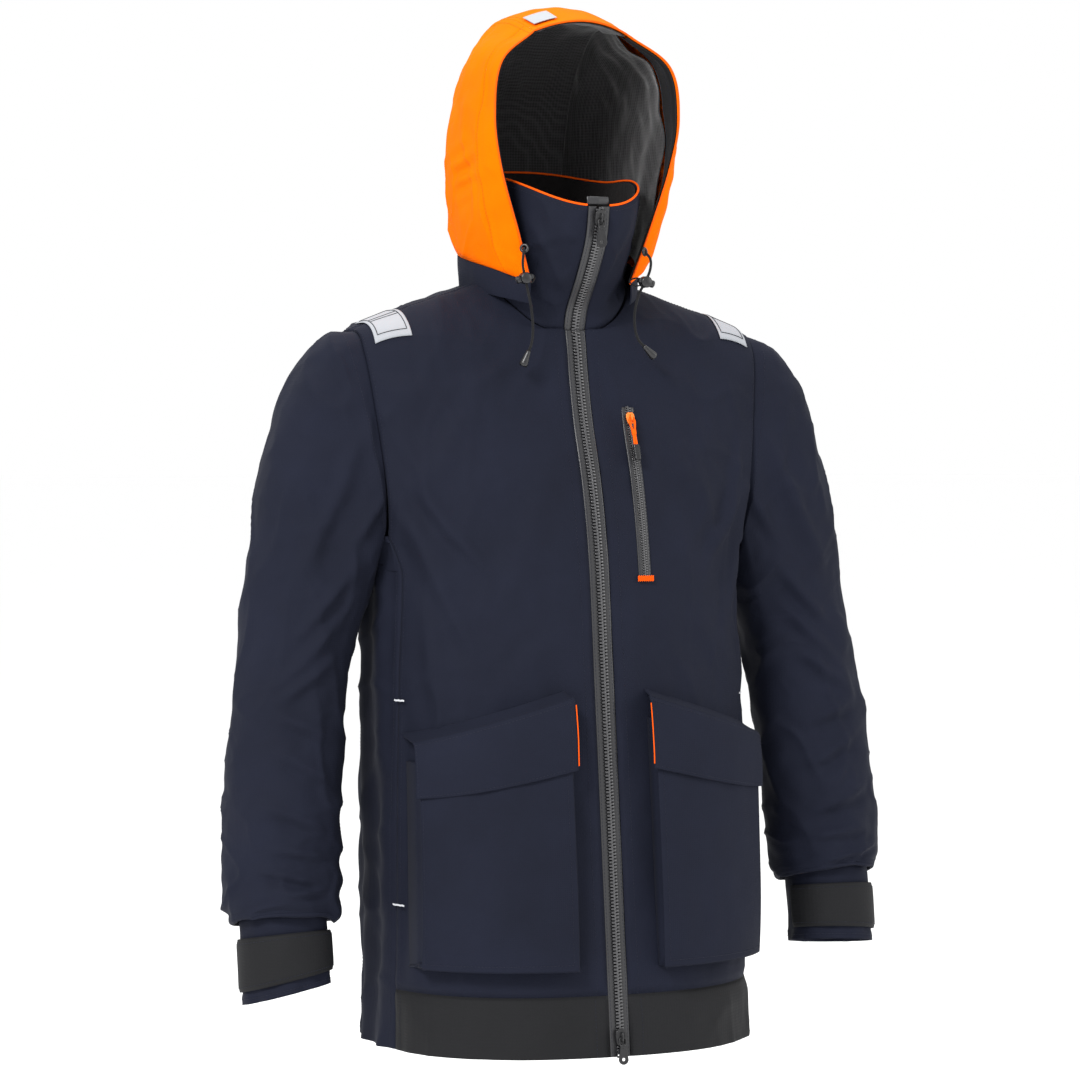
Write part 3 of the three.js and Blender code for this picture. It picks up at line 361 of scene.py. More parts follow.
def tube(name, rows, radius, closed=False, resolution=3, row_frame=False):
    """A round cord or piping along a line of points."""
    p = np.asarray(rows, float) if row_frame else to_row(rows)
    curve = bpy.data.curves.new(name, "CURVE")
    curve.dimensions = "3D"
    curve.bevel_depth = radius * MM
    curve.bevel_resolution = resolution
    curve.use_fill_caps = True
    spline = curve.splines.new("POLY")
    spline.points.add(len(p) - 1)
    for q, at in zip(spline.points, p):
        q.co = (*at, 1)
    spline.use_cyclic_u = closed
    spline.use_smooth = True
    return new_object(name, curve)


def outline(name, loops, depth, bevel):
    """A flat piece in its own X-Z plane, facing -Y: the first loop is its edge, the rest are holes."""
    curve = bpy.data.curves.new(name, "CURVE")
    curve.dimensions = "2D"
    curve.fill_mode = "BOTH"
    curve.extrude = (depth / 2 - bevel) * MM
    curve.bevel_depth = bevel * MM
    curve.bevel_resolution = 2
    for loop in loops:
        spline = curve.splines.new("POLY")
        spline.points.add(len(loop) - 1)
        spline.use_cyclic_u = True
        for q, (x, z) in zip(spline.points, loop):
            q.co = (x * MM, z * MM, 0, 1)
    o = new_object(name, curve)
    o.rotation_euler.x = math.pi / 2
    bpy.context.view_layer.update()
    o = apply_all(o)
    o.data.transform(o.matrix_world)
    o.matrix_world.identity()
    o.data.shade_smooth()
    return o


def circle(radius, n=24, centre=(0, 0), squash=1.0):
    return [
        (
            centre[0] + radius * math.cos(2 * math.pi * k / n),
            centre[1] + squash * radius * math.sin(2 * math.pi * k / n)
        )
        for k in range(n)
    ]


def rounded_box(name, size, centre, bevel, segments=3):
    bm = bmesh.new()
    bmesh.ops.create_cube(bm, size=1)
    for v in bm.verts:
        v.co = Vector([v.co[k] * size[k] + centre[k] for k in range(3)]) * MM
    bmesh.ops.bevel(
        bm, geom=list(bm.edges), offset=bevel * MM, segments=segments, profile=0.6, affect="EDGES"
    )
    mesh = bpy.data.meshes.new(name)
    bm.to_mesh(mesh)
    bm.free()
    mesh.shade_smooth()
    return new_object(name, mesh)


def stitches(name, line, out, stitch=2.6, gap=1.1, radius=0.32):
    """A row of thread dashes along a line of points, lifted by out (a vector for each point)."""
    p = np.asarray(line, float) + out
    steps = np.linalg.norm(np.diff(p, axis=0), axis=1)
    length = np.concatenate([[0], np.cumsum(steps)])
    count = int(length[-1] / (stitch + gap))
    verts, faces = [], []
    for k in range(count):
        s = [k * (stitch + gap) + f * stitch for f in (0, 0.5, 1)]
        at = np.stack([np.interp(s, length, p[:, c]) for c in range(3)], -1)
        ahead = at[2] - at[0]
        across = np.cross(ahead, [0.3, -1.0, 0.2])
        across /= max(np.linalg.norm(across), 1e-9)
        up = np.cross(across, ahead)
        up /= max(np.linalg.norm(up), 1e-9)
        for j, bulge in enumerate((0.25, 1.0, 0.25)):
            base = len(verts)
            for c, s2 in ((1, 0), (0, 1), (-1, 0), (0, -1)):
                verts.append(at[j] + radius * bulge * (c * across + s2 * up))
            if j:
                for q in range(4):
                    faces.append((base - 4 + q, base - 4 + (q + 1) % 4, base + (q + 1) % 4, base + q))
        faces.append((base - 8, base - 5, base - 6, base - 7))
        faces.append((base, base + 1, base + 2, base + 3))
    mesh = bpy.data.meshes.new(name)
    mesh.from_pydata(to_row(verts).tolist(), [], faces)
    mesh.shade_smooth()
    return new_object(name, mesh)


# ---- Materials ---------------------------------------------------------------------------------------------

def nodes_for(name):
    m = bpy.data.materials.new(name)
    m.use_nodes = True
    tree = m.node_tree
    shader = tree.nodes["Principled BSDF"]
    return m, tree, shader


def add(tree, kind, inputs=(), **settings):
    node = tree.nodes.new(kind)
    for key, value in settings.items():
        setattr(node, key, value)
    for key, value in dict(inputs).items():
        node.inputs[key].default_value = value
    return node


def colour_mix(tree, factor, dark, light):
    ramp = add(tree, "ShaderNodeValToRGB")
    ramp.color_ramp.elements[0].color = (*dark, 1)
    ramp.color_ramp.elements[1].color = (*light, 1)
    ramp.color_ramp.elements[0].position = 0.3
    ramp.color_ramp.elements[1].position = 0.7
    tree.links.new(factor, ramp.inputs[0])
    return ramp.outputs["Color"]


def fabric(
    name, colour, roughness=0.8, sheen=0.25, thread=900, weave=0.25, crinkle=0.12, vary=0.14, lift=(1, 1, 1),
    shine=0.16
):
    """Woven cloth: two crossing sets of threads, a fine crinkle and slow changes of tone."""
    m, tree, shader = nodes_for(name)
    links = tree.links
    where = add(tree, "ShaderNodeTexCoord")
    position = where.outputs["Object"]
    slow = add(tree, "ShaderNodeTexNoise", {"Scale": 9.0, "Detail": 4.0, "Roughness": 0.6})
    links.new(position, slow.inputs["Vector"])
    dark = tuple(c * (1 - vary) for c in colour)
    light = tuple(min(1.0, c * (1 + vary) * k) for c, k in zip(colour, lift))
    links.new(colour_mix(tree, slow.outputs["Fac"], dark, light), shader.inputs["Base Color"])
    warp = add(
        tree, "ShaderNodeTexWave", {"Scale": thread / 6.28, "Distortion": 0.6, "Detail": 1.0},
        bands_direction="Z"
    )
    weft = add(
        tree, "ShaderNodeTexWave", {"Scale": thread / 6.28, "Distortion": 0.6, "Detail": 1.0},
        bands_direction="X"
    )
    fine = add(tree, "ShaderNodeTexNoise", {"Scale": 130.0, "Detail": 6.0, "Roughness": 0.65})
    for node in (warp, weft, fine):
        links.new(position, node.inputs["Vector"])
    threads = add(tree, "ShaderNodeMath", operation="MULTIPLY")
    links.new(warp.outputs["Fac"], threads.inputs[0])
    links.new(weft.outputs["Fac"], threads.inputs[1])
    bump_threads = add(tree, "ShaderNodeBump", {"Strength": weave, "Distance": 0.0004})
    links.new(threads.outputs[0], bump_threads.inputs["Height"])
    bump_fine = add(tree, "ShaderNodeBump", {"Strength": crinkle, "Distance": 0.002})
    links.new(fine.outputs["Fac"], bump_fine.inputs["Height"])
    links.new(bump_threads.outputs["Normal"], bump_fine.inputs["Normal"])
    links.new(bump_fine.outputs["Normal"], shader.inputs["Normal"])
    rough = add(tree, "ShaderNodeMapRange", {"To Min": roughness - 0.07, "To Max": roughness + 0.07})
    links.new(slow.outputs["Fac"], rough.inputs["Value"])
    links.new(rough.outputs["Result"], shader.inputs["Roughness"])
    shader.inputs["Sheen Weight"].default_value = sheen
    shader.inputs["Sheen Roughness"].default_value = 0.45
    shader.inputs["Sheen Tint"].default_value = (*[min(1, c * 5 + 0.2) for c in colour], 1)
    shader.inputs["Specular IOR Level"].default_value = shine
    return m


def moulded(name, colour, roughness=0.28, metallic=0.0, scuff=0.08, shine=0.5):
    """Glossy moulded plastic or lacquered metal with faint handling marks."""
    m, tree, shader = nodes_for(name)
    links = tree.links
    where = add(tree, "ShaderNodeTexCoord")
    marks = add(tree, "ShaderNodeTexNoise", {"Scale": 420.0, "Detail": 5.0})
    links.new(where.outputs["Object"], marks.inputs["Vector"])
    rough = add(tree, "ShaderNodeMapRange", {"To Min": roughness, "To Max": roughness + 0.22})
    links.new(marks.outputs["Fac"], rough.inputs["Value"])
    links.new(rough.outputs["Result"], shader.inputs["Roughness"])
    light = tuple(min(1, c * 1.5 + 0.006) for c in colour)
    links.new(colour_mix(tree, marks.outputs["Fac"], colour, light), shader.inputs["Base Color"])
    bump = add(tree, "ShaderNodeBump", {"Strength": scuff, "Distance": 0.0004})
    links.new(marks.outputs["Fac"], bump.inputs["Height"])
    links.new(bump.outputs["Normal"], shader.inputs["Normal"])
    shader.inputs["Metallic"].default_value = metallic
    shader.inputs["Specular IOR Level"].default_value = shine
    return m


def open_mesh(name, colour):
    """Knitted mesh: diamond holes darkened with painted shade, between pale threads."""
    m, tree, shader = nodes_for(name)
    links = tree.links
    where = add(tree, "ShaderNodeTexCoord")
    cells = add(tree, "ShaderNodeTexVoronoi", {"Scale": 330.0, "Randomness": 0.12})
    links.new(where.outputs["Object"], cells.inputs["Vector"])
    slow = add(tree, "ShaderNodeTexNoise", {"Scale": 14.0, "Detail": 3.0})
    links.new(where.outputs["Object"], slow.inputs["Vector"])
    # painted shade: the cell middles, which the bump sinks as holes, are coloured much darker than the
    # threads at the cell edges
    holes = colour_mix(
        tree, cells.outputs["Distance"], tuple(c * 0.25 for c in colour), tuple(c * 2.6 for c in colour)
    )
    links.new(holes, shader.inputs["Base Color"])
    bump = add(tree, "ShaderNodeBump", {"Strength": 0.7, "Distance": 0.0008})
    links.new(cells.outputs["Distance"], bump.inputs["Height"])
    links.new(bump.outputs["Normal"], shader.inputs["Normal"])
    shader.inputs["Roughness"].default_value = 0.75
    shader.inputs["Sheen Weight"].default_value = 0.3
    return m


NAVY = (0.0090, 0.0106, 0.0200)
navy = fabric("navy_shell", NAVY, roughness=0.8, sheen=0.03, shine=0.1)
navy_thread = fabric("navy_thread", (0.017, 0.019, 0.032), roughness=0.6, sheen=0.05)
charcoal = fabric(
    "charcoal_shell", (0.0098, 0.0100, 0.0112), roughness=0.72, sheen=0.02, thread=600, weave=0.4
)
orange = fabric(
    "orange_shell", (0.93, 0.135, 0.0), roughness=0.8, sheen=0.0, vary=0.05, lift=(1, 1.1, 1), shine=0.03
)
piping = fabric("orange_trim", (0.86, 0.10, 0.004), roughness=0.6, sheen=0.0, vary=0.08, shine=0.05)
fleece = fabric(
    "black_fleece", (0.012, 0.0105, 0.0105), roughness=0.95, sheen=0.12, thread=300, weave=0.2, crinkle=0.9
)
facing_cloth = fabric("black_facing", (0.008, 0.008, 0.009), roughness=0.7, sheen=0.2)
tape_cloth = fabric(
    "zip_tape", (0.020, 0.020, 0.022), roughness=0.34, sheen=0.0, thread=1400, weave=0.15, crinkle=0.05,
    shine=0.5
)
braid = fabric("cord_black", (0.010, 0.010, 0.011), roughness=0.7, sheen=0.3, thread=3000, weave=0.8)
silver = fabric(
    "reflective", (0.33, 0.345, 0.37), roughness=0.5, sheen=0.0, thread=1500, weave=0.1, crinkle=0.08,
    vary=0.04
)
white_thread = fabric("white_thread", (0.62, 0.63, 0.66), roughness=0.6, sheen=0.2, thread=3000, vary=0.05)
ink = fabric("dark_print", (0.02, 0.021, 0.025), roughness=0.6, sheen=0.0)
mesh_cloth = open_mesh("black_mesh", (0.012, 0.0115, 0.0125))
plastic = moulded("black_plastic", (0.0055, 0.0055, 0.0065), roughness=0.2)
tooth_plastic = moulded("zip_teeth", (0.016, 0.016, 0.018), roughness=0.1, shine=1.0)
orange_metal = moulded("orange_pull", (0.95, 0.17, 0.012), roughness=0.35, metallic=0.1)


def dress(o, material):
    o.data.materials.clear()
    o.data.materials.append(material)
    return o


def finished_cloth(o, material, thickness=SHELL):
    """Gives a sheet its thickness and material, and makes it a plain mesh."""
    return apply_all(dress(thicken(o, thickness), material))


def place(o, nodes, body="jacket"):
    """Hides the CAD nodes that a finished piece stands for and ties the piece to the body it moves with."""
    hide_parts(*nodes)
    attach(o, body)
    return o


# ---- Body panels -------------------------------------------------------------------------------------------
SIDE_FRONT, SIDE_BACK, SHOULDER = -64.0, 62.0, -8.0
HEM_BAND = 41.0
BODY_ROWS = 190


LEAN_START, LEAN_END = 470.0, 640.0  # heights between which the side seams lean towards the shoulder seam


def seam_y(z, low):
    """Where a side seam runs: straight up to the armpit, then forward or back to the shoulder seam."""
    return low + (SHOULDER - low) * np.clip((z - LEAN_START) / (LEAN_END - LEAN_START), 0, 1)


def armhole_angle(t, end):
    """The angle at which each ring meets the armhole line; end is 1 for the front, 2 for the back."""
    wide, side, far = along(BODY, 3, t), along(BODY, 0, t), along(BODY, end, t)
    height = side
    for _ in range(4):
        angle = np.arccos(np.clip(armhole_x(height) / wide, 0, 1) ** (ROUNDNESS / 2))
        height = side + (far - side) * np.sin(angle) ** 2
    return angle


STEPS = np.linspace(0, 1, 4001)
INSIDE_ARMHOLE = STEPS[along(BODY, 3, STEPS) > armhole_x(along(BODY, 0, STEPS))]
ARMPIT, SHOULDER_POINT = INSIDE_ARMHOLE.min(), INSIDE_ARMHOLE.max()


def angle_to(t, y):
    """The angle from the side, negative towards the front, at which one ring reaches a given y."""
    reach = along(BODY, 4 if y < 0 else 5, np.array([t]))[0]
    angle = math.asin(min(1, abs(y) / reach) ** (ROUNDNESS / 2))
    return -angle if y < 0 else angle


def edge_angle(t, low):
    """The angle at which a front (low < 0) or back panel ends, for each height share t."""
    z = along(BODY, 0, t)
    at_armhole = armhole_angle(t, 1 if low < 0 else 2)
    angle = np.zeros_like(t)
    for k, share in enumerate(t):
        if share > SHOULDER_POINT:
            angle[k] = angle_to(share, SHOULDER * min(1, (share - SHOULDER_POINT) / 0.05))
        elif z[k] > LEAN_END:
            angle[k] = -at_armhole[k] if low < 0 else at_armhole[k]
        else:
            seam = angle_to(share, seam_y(z[k], low))
            angle[k] = min(seam, -at_armhole[k]) if low < 0 else max(seam, at_armhole[k])
    return angle


BODY_FOLDS = {
    "right": [
        ((-186, -70, 560), (-120, -125, 470), 11, 3.4), ((-190, -66, 530), (-140, -120, 395), 13, 3.0),
        ((-190, -70, 600), (-150, -90, 500), 9, 2.6), ((-178, -92, 450), (-165, -110, 300), 14, 2.6),
        ((-60, -135, 560), (-110, -140, 430), 22, 2.0), ((-40, -150, 420), (-120, -150, 350), 24, 1.6),
        ((-120, -95, 660), (-170, -70, 560), 20, 2.2), ((-60, -85, 700), (-120, -75, 660), 14, 2.0),
        ((-30, -78, 715), (-75, -85, 650), 10, 1.8), ((-180, -80, 240), (-188, -85, 60), 10, 2.0),
    ],
    "left": [
        ((186, -70, 560), (130, -122, 480), 11, 3.2), ((190, -66, 530), (150, -115, 400), 13, 2.8),
        ((188, -72, 610), (160, -90, 510), 9, 2.6), ((90, -110, 600), (150, -105, 500), 22, 2.0),
        ((25, -85, 700), (48, -105, 610), 8, 1.8), ((60, -78, 700), (120, -78, 650), 14, 2.0),
        ((110, -150, 420), (170, -110, 360), 20, 1.8), ((180, -80, 240), (188, -85, 60), 10, 2.0),
    ],
}


def body_relief(p, side):
    """Height of the cloth over the plain form, in millimetres."""
    relief = 3.0 * ripple(p, (90, 90, 190), 1) + 2.2 * ripple(p, (34, 60, 80), 2)
    relief = relief + 0.8 * ripple(p, (14, 20, 26), 3)
    relief += 2.4 * creases(p, BODY_FOLDS["left" if side > 0 else "right"])
    towards_side = np.clip((np.abs(p[..., 0]) - 40) / 130, 0.1, 1)
    relief += towards_side * (2.6 * fold_lines(p, (60, 110, 75), 14) + 1.6 * fold_lines(p, (34, 60, 95), 15))
    near_zip = np.exp(-((np.abs(p[..., 0]) - 12) / 9) ** 2) * (p[..., 1] < 0)
    relief += near_zip * 0.9 * np.sin(p[..., 2] / 5.6 + 2.2 * np.sin(p[..., 2] / 31))
    drag = np.clip((p[..., 1] + 10) / 60, 0, 1)
    relief += drag * 2.2 * np.sin(
        (p[..., 2] + 0.35 * np.abs(p[..., 0])) / 27 + 3.0 * ripple(p, (90, 90, 70), 4)
    )
    under_patch = np.clip((np.abs(p[..., 0]) - 160) / 14, 0, 1) * np.clip((p[..., 2] - 655) / 20, 0, 1)
    relief *= 1 - under_patch * np.clip((45 - p[..., 1]) / 20, 0, 1)
    flank = np.clip((np.abs(p[..., 0]) - 175) / 25, 0, 1) * (p[..., 2] < 500)
    relief += flank * (3.0 * np.sin(p[..., 1] / 8.5 + 1.2 * np.sin(p[..., 2] / 90)) - 1.5)
    return relief


def settle(relief, u, seams, depth=1.9):
    """Lets the relief die out into a seam at each edge named: left, right, bottom or top."""
    rows, columns = relief.shape
    v = np.linspace(0, 1, rows)[:, None] * np.ones((1, columns))
    for name, distance in (("left", u), ("right", 1 - u), ("bottom", v), ("top", 1 - v)):
        if name in seams:
            near = np.exp(-(distance / seams[name]) ** 2)
            relief = relief * (1 - near) - depth * np.exp(-(distance / (0.35 * seams[name])) ** 2)
    return relief


def body_panel(name, angles, t, side, seams, material, nodes, stitched=("left", "right")):
    """A panel between two edge angles, given for each height in t."""
    columns = max(24, int(np.max(np.abs(angles[1] - angles[0])) * 170 / 4.2))
    u = np.linspace(0, 1, columns)[None, :] * np.ones((len(t), 1))
    angle = angles[0][:, None] + (angles[1] - angles[0])[:, None] * u
    p = ring(BODY, angle, t[:, None] * np.ones_like(u))
    n = ring_normals(BODY, angle, t[:, None] * np.ones_like(u))
    relief = settle(body_relief(p, side), u, seams)
    # cloth stays in line with the trims that are sewn on the centre front
    at_zip = np.exp(-((np.abs(p[..., 0]) - ZIP_EDGE) / 3.0) ** 2) * (p[..., 1] < 0)
    relief = relief * (1 - at_zip)
    p = p + n * relief[..., None]
    o = grid(name, allowance(p, n, list(seams)))
    face_outwards(o)
    o = finished_cloth(o, material)
    rows_of_thread = []
    for edge in stitched:
        column = {"left": 2, "right": columns - 3}[edge]
        rows_of_thread.append(
            dress(stitches(f"{name}_{edge}", p[:, column], n[:, column] * 0.12), navy_thread)
        )
    o = join([o, *rows_of_thread], name)
    return place(o, nodes) if nodes else o


def height_share(z):
    steps = np.linspace(0, 1, 600)
    return np.interp(z, along(BODY, 1, steps), steps)


def build_body():
    band_top = height_share(HEM_BAND)
    upper = np.linspace(band_top, 1, BODY_ROWS)
    lower = np.linspace(0, band_top, 16)
    for name, side in SIDES:
        for t, kind, material, slot in (
            (upper, "front_panel", navy, "navy_shell"), (lower, "hem_band", charcoal, "charcoal_shell")
        ):
            outer = edge_angle(t, SIDE_FRONT)
            inner = -angle_at_x(BODY, t, ZIP_EDGE)
            if side < 0:
                inner, outer = -math.pi - inner, -math.pi - outer
            seams = {"right": 0.05, "bottom": 0.01} if kind == "front_panel" else {"right": 0.04, "top": 0.2}
            stitched = ("left", "right")
            body_panel(
                f"{kind}_{name}", (inner, outer), t, side, seams, material, [f"{kind}_{name}"], stitched
            )
        panel = f"side_panel_{name}"

        def edges(t, turn):
            return np.array([angle_to(k, seam_y(z, turn)) for k, z in zip(t, along(BODY, 0, t))])

        def turned(angle):
            return angle if side > 0 else -math.pi - angle

        below = np.linspace(0, ARMPIT, 130)
        front, back = turned(edges(below, SIDE_FRONT)), turned(edges(below, SIDE_BACK))
        seams = {"left": 0.08, "right": 0.08}
        parts = [body_panel(panel, (front, back), below, side, seams, navy, None)]
        # Two narrow wedges carry the panel up beside the armhole until its seams meet the sleeve.
        above = np.linspace(ARMPIT - 0.006, ARMPIT + 0.25, 400)
        for low, end in ((SIDE_FRONT, 1), (SIDE_BACK, 2)):
            seam, hole = edges(above, low), np.nan_to_num(armhole_angle(above, end))
            hole = -hole if low < 0 else hole
            open_rows = np.abs(seam) > np.abs(hole) + 0.004
            count = int(np.argmin(open_rows)) if not open_rows.all() else len(above)
            rows = above[:count]
            pair = (turned(seam[:count]), turned(hole[:count]))
            parts.append(
                body_panel(f"{panel}_wedge", pair, rows, side, {"left": 0.3}, navy, None, ())
            )
        place(join(parts, panel), [panel])
    whole = np.linspace(0, 1, BODY_ROWS)
    left = edge_angle(whole, SIDE_BACK)
    body_panel(
        "back_panel", (left, math.pi - left), whole, 1, {"left": 0.03, "right": 0.03}, navy, ["back_panel"],
    )


# ---- Sleeves -----------------------------------------------------------------------------------------------
SLEEVE_HEAD = 0.5  # share of a sleeve's rows that lead from the armhole to the lower sleeve
OFF_SHOULDER = np.array([0.98, 0, -0.17])  # the way the cloth leaves the shoulder point
OFF_ARMPIT = np.array([0.15, 0, -0.99])
FULLNESS = 0.8


def armhole(angle):
    """The body's edge at the armhole. Angle 0 is the shoulder point, -90 the front and 180 the armpit."""
    t = ARMPIT + (SHOULDER_POINT - ARMPIT) * (0.5 + 0.5 * np.cos(angle))
    front = np.sin(angle) < 0
    turn = np.where(front, -armhole_angle(t, 1), armhole_angle(t, 2))
    return ring(BODY, turn, t)


def lower_sleeve(side, angle, t):
    """The lower sleeve's surface and the way down along it."""
    def centre(s):
        return np.stack(
            [along(SLEEVE, 0, s), along(SLEEVE, 1, s), along(SLEEVE, 2, s) + SLEEVE_DROP * side], -1
        )

    down = centre(np.minimum(t + 0.02, 1)) - centre(np.maximum(t - 0.02, 0))
    down /= np.linalg.norm(down, axis=-1, keepdims=True)
    across = -np.cross(np.array([0, 1.0, 0]), down)
    across /= np.linalg.norm(across, axis=-1, keepdims=True)
    forward = np.cross(across, down)
    wide, deep = along(SLEEVE, 3, t), along(SLEEVE, 4, t)
    p = centre(t) + across * (wide * np.cos(angle))[..., None] + forward * (deep * np.sin(angle))[..., None]
    return p, down


def sleeve_surface(side, angle, v):
    """Points of a sleeve; v runs from the armhole (0) to the gathered end (1)."""
    low, down = lower_sleeve(side, angle, np.clip((v - SLEEVE_HEAD) / (1 - SLEEVE_HEAD), 0, 1))
    start = armhole(angle)
    length = np.linalg.norm(low - start, axis=-1, keepdims=True)
    share = (1 - np.cos(angle))[..., None] / 2
    leave = OFF_SHOULDER * (1 - share) + OFF_ARMPIT * share
    leave /= np.linalg.norm(leave, axis=-1, keepdims=True)
    s = np.clip(v / SLEEVE_HEAD, 0, 1)[..., None]
    s2, s3 = s * s, s * s * s
    head = start * (2 * s3 - 3 * s2 + 1) + low * (3 * s2 - 2 * s3)
    head += leave * (s3 - 2 * s2 + s) * length * FULLNESS + down * (s3 - s2) * length
    return np.where(v[..., None] < SLEEVE_HEAD, head, low) * np.array([side, 1, 1.0])


SLEEVE_FOLDS = [
    ((240, -68, 470), (300, -50, 400), 10, 3.6), ((248, -62, 430), (318, -50, 350), 11, 3.6),
    ((262, -66, 380), (322, -60, 335), 10, 3.2), ((250, -66, 560), (290, -60, 470), 13, 3.0),
    ((228, -66, 610), (262, -60, 520), 13, 2.6), ((270, -75, 300), (335, -72, 330), 10, 2.8),
    ((262, -80, 250), (330, -78, 290), 9, 3.0), ((270, -86, 205), (345, -80, 235), 8, 3.2),
    ((262, -90, 178), (330, -88, 190), 7, 3.4), ((285, -92, 155), (355, -80, 172), 6, 3.2),
    ((262, -88, 150), (320, -95, 146), 5, 3.0), ((205, -60, 545), (236, -66, 500), 8, 3.0),
]


def build_sleeve(name, side):
    columns, rows = 132, 230
    angle = np.linspace(0, 2 * math.pi, columns, endpoint=False)
    v = np.linspace(0, 1, rows)
    a, vv = np.meshgrid(angle, v)
    p = sleeve_surface(side, a, vv)
    n = normals_of(p, p.mean(axis=1, keepdims=True))
    q = p * np.array([side, 1, 1.0])
    relief = 2.8 * ripple(p, (55, 55, 110), 5 + side) + 2.4 * ripple(p, (28, 36, 40), 7 + side)
    relief += 0.8 * ripple(p, (13, 16, 18), 8) + 2.4 * creases(q, SLEEVE_FOLDS)
    low = np.clip((250 - p[..., 2]) / 120, 0, 1)
    long_folds = 2.8 * fold_lines(p, (55, 70, 100), 16 + side)
    wrist_folds = (1.0 + 2.6 * low) * fold_lines(p, (60, 60, 34), 18 + side)
    relief += long_folds + wrist_folds
    slant = p[..., 2] + 9 * np.sin(a + side) + 6 * np.sin(2 * a + 1.0) + 14 * ripple(p, (60, 60, 60), 11)
    gathers = 2.2 * np.sin(slant / 6.5) + 1.8 * np.sin(slant / 11.0 + 2.0)
    relief += low * gathers * (0.6 + ripple(p, (40, 40, 30), 12))
    end = np.clip((vv - 0.90) / 0.10, 0, 1)
    relief = relief * (1 - 0.8 * end) + 4.5 * np.sin(math.pi * end) * (1 + 0.25 * ripple(p, (30, 30, 60), 13))
    near = np.exp(-((vv / 0.018) ** 2))
    relief = relief * (1 - near) - 1.9 * near
    p = p + n * relief[..., None]
    x = np.maximum(np.abs(p[..., 0]), armhole_x(p[..., 2]) + 0.6)
    p[..., 0] = np.where(p[..., 2] < 520, side * x, p[..., 0])
    tucked = p[0] - n[0] * 3.5 - np.array([side * 4.0, 0, 0])
    o = grid(f"sleeve_{name}", np.concatenate([tucked[None], p], 0), closed=True)
    face_outwards(o, tuple(to_row([side * 285, 0, 0])[:2]))
    o = finished_cloth(o, navy)
    loop = np.vstack([p[6], p[6][:1]])
    lift = np.vstack([n[6], n[6][:1]])
    thread = dress(stitches(f"sleeve_{name}_thread", loop, lift * 0.12), navy_thread)
    back = int(columns * 0.32)
    under = dress(stitches(f"sleeve_{name}_under", p[12:-8, back], n[12:-8, back] * 0.12), navy_thread)
    o = join([o, thread, under], f"sleeve_{name}")
    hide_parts(f"sleeve_{name}")
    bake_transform(o)
    return p


# ---- Cuffs -------------------------------------------------------------------------------------------------
CUFF_HALF = (46, 45)
CUFF_TILT = -0.16
CUFF_SLANT = {-1: 0.2, 1: 0.06}  # how much lower the outer side of a cuff hangs
STRAP = (-16, 47, -2.97, 0.38)  # top, height and its two end angles


def cuff_points(side, angle, height, out):
    angle, height, out = np.broadcast_arrays(angle, height, out)
    taper = np.where(height < 0, 1, 1 - height / 160)
    x = side * (CUFF_HALF[0] * taper + out) * np.cos(angle)
    y = (CUFF_HALF[1] * taper + out) * np.sin(angle)
    height = height - side * (x * CUFF_SLANT[side]) * np.clip(-height / 60, 0, 1)
    c, s = math.cos(CUFF_TILT), math.sin(CUFF_TILT)
    middle = np.array([side * 309.0, -38, 128 + SLEEVE_DROP * side])
    return middle + np.stack([x, y * c - height * s, y * s + height * c], -1)


def build_cuff(name, side):
    angle = np.linspace(0, 2 * math.pi, 96, endpoint=False)[None, :] * np.ones((40, 1))
    height = (24 - 100 * np.linspace(0, 1, 40))[:, None] * np.ones_like(angle)
    wave = 1.2 * np.sin(angle * 5 + height / 14) + 0.8 * np.sin(angle * 11 - height / 7)
    free = np.clip((-62 - height) / 10, 0, 1)
    out = -1.2 + wave * (0.35 + free) + 1.0 * free
    p = cuff_points(side, angle, height, np.where(height > 2, out - 1.0, np.minimum(out, 0.1)))
    o = grid(f"inner_cuff_{name}", p, closed=True)
    face_outwards(o, tuple(to_row([side * 309, -38, 0])[:2]))
    o = finished_cloth(o, navy, 1.6 * MM)
    row = np.vstack([p[-3], p[-3][:1]])
    hem = dress(stitches(f"cuff_{name}_thread", row, 0.3 * (row - p[-3].mean(0)) / 45), navy_thread)
    o = join([o, hem], f"inner_cuff_{name}")
    place(o, [f"inner_cuff_{name}"], f"sleeve_{name}")

    top, tall, start, stop = STRAP
    u, v = np.meshgrid(np.linspace(0, 1, 110), np.linspace(0, 1, 22))
    soft = 0.5 * np.sin(u * 9 + v * 2) + 0.35 * np.sin(u * 23 + 4 * v)
    edge = 1 - np.exp(-((np.minimum(v, 1 - v) / 0.07) ** 2)) * 0.7
    p = cuff_points(side, start + u * (stop - start), top - tall * (1 - v), 1.2 + 2.0 * edge + 0.5 * soft)
    o = grid(f"cuff_strap_{name}", p)
    face_outwards(o, tuple(to_row([side * 309, -38, 0])[:2]))
    o = finished_cloth(o, charcoal, 2.0 * MM)
    middle = np.array([side * 309, -38, 0])
    rows = []
    for k in (2, 19):
        outward = p[k] - middle
        outward[:, 2] = 0
        outward /= np.linalg.norm(outward, axis=1, keepdims=True)
        rows.append(dress(stitches(f"strap_{name}_{k}", p[k], outward * 0.15), navy_thread))
    o = join([o, *rows], f"cuff_strap_{name}")
    place(o, [f"cuff_strap_{name}"], f"cuff_strap_{name}")


# ---- Collar ------------------------------------------------------------------------------------------------

def collar_grid(u, v, out, edge):
    """u runs from the left front edge round the back to the right front edge."""
    start = -angle_at_x(COLLAR, v, edge)
    angle = start + u * (math.pi - 2 * start)
    return ring(COLLAR, angle, v, out)


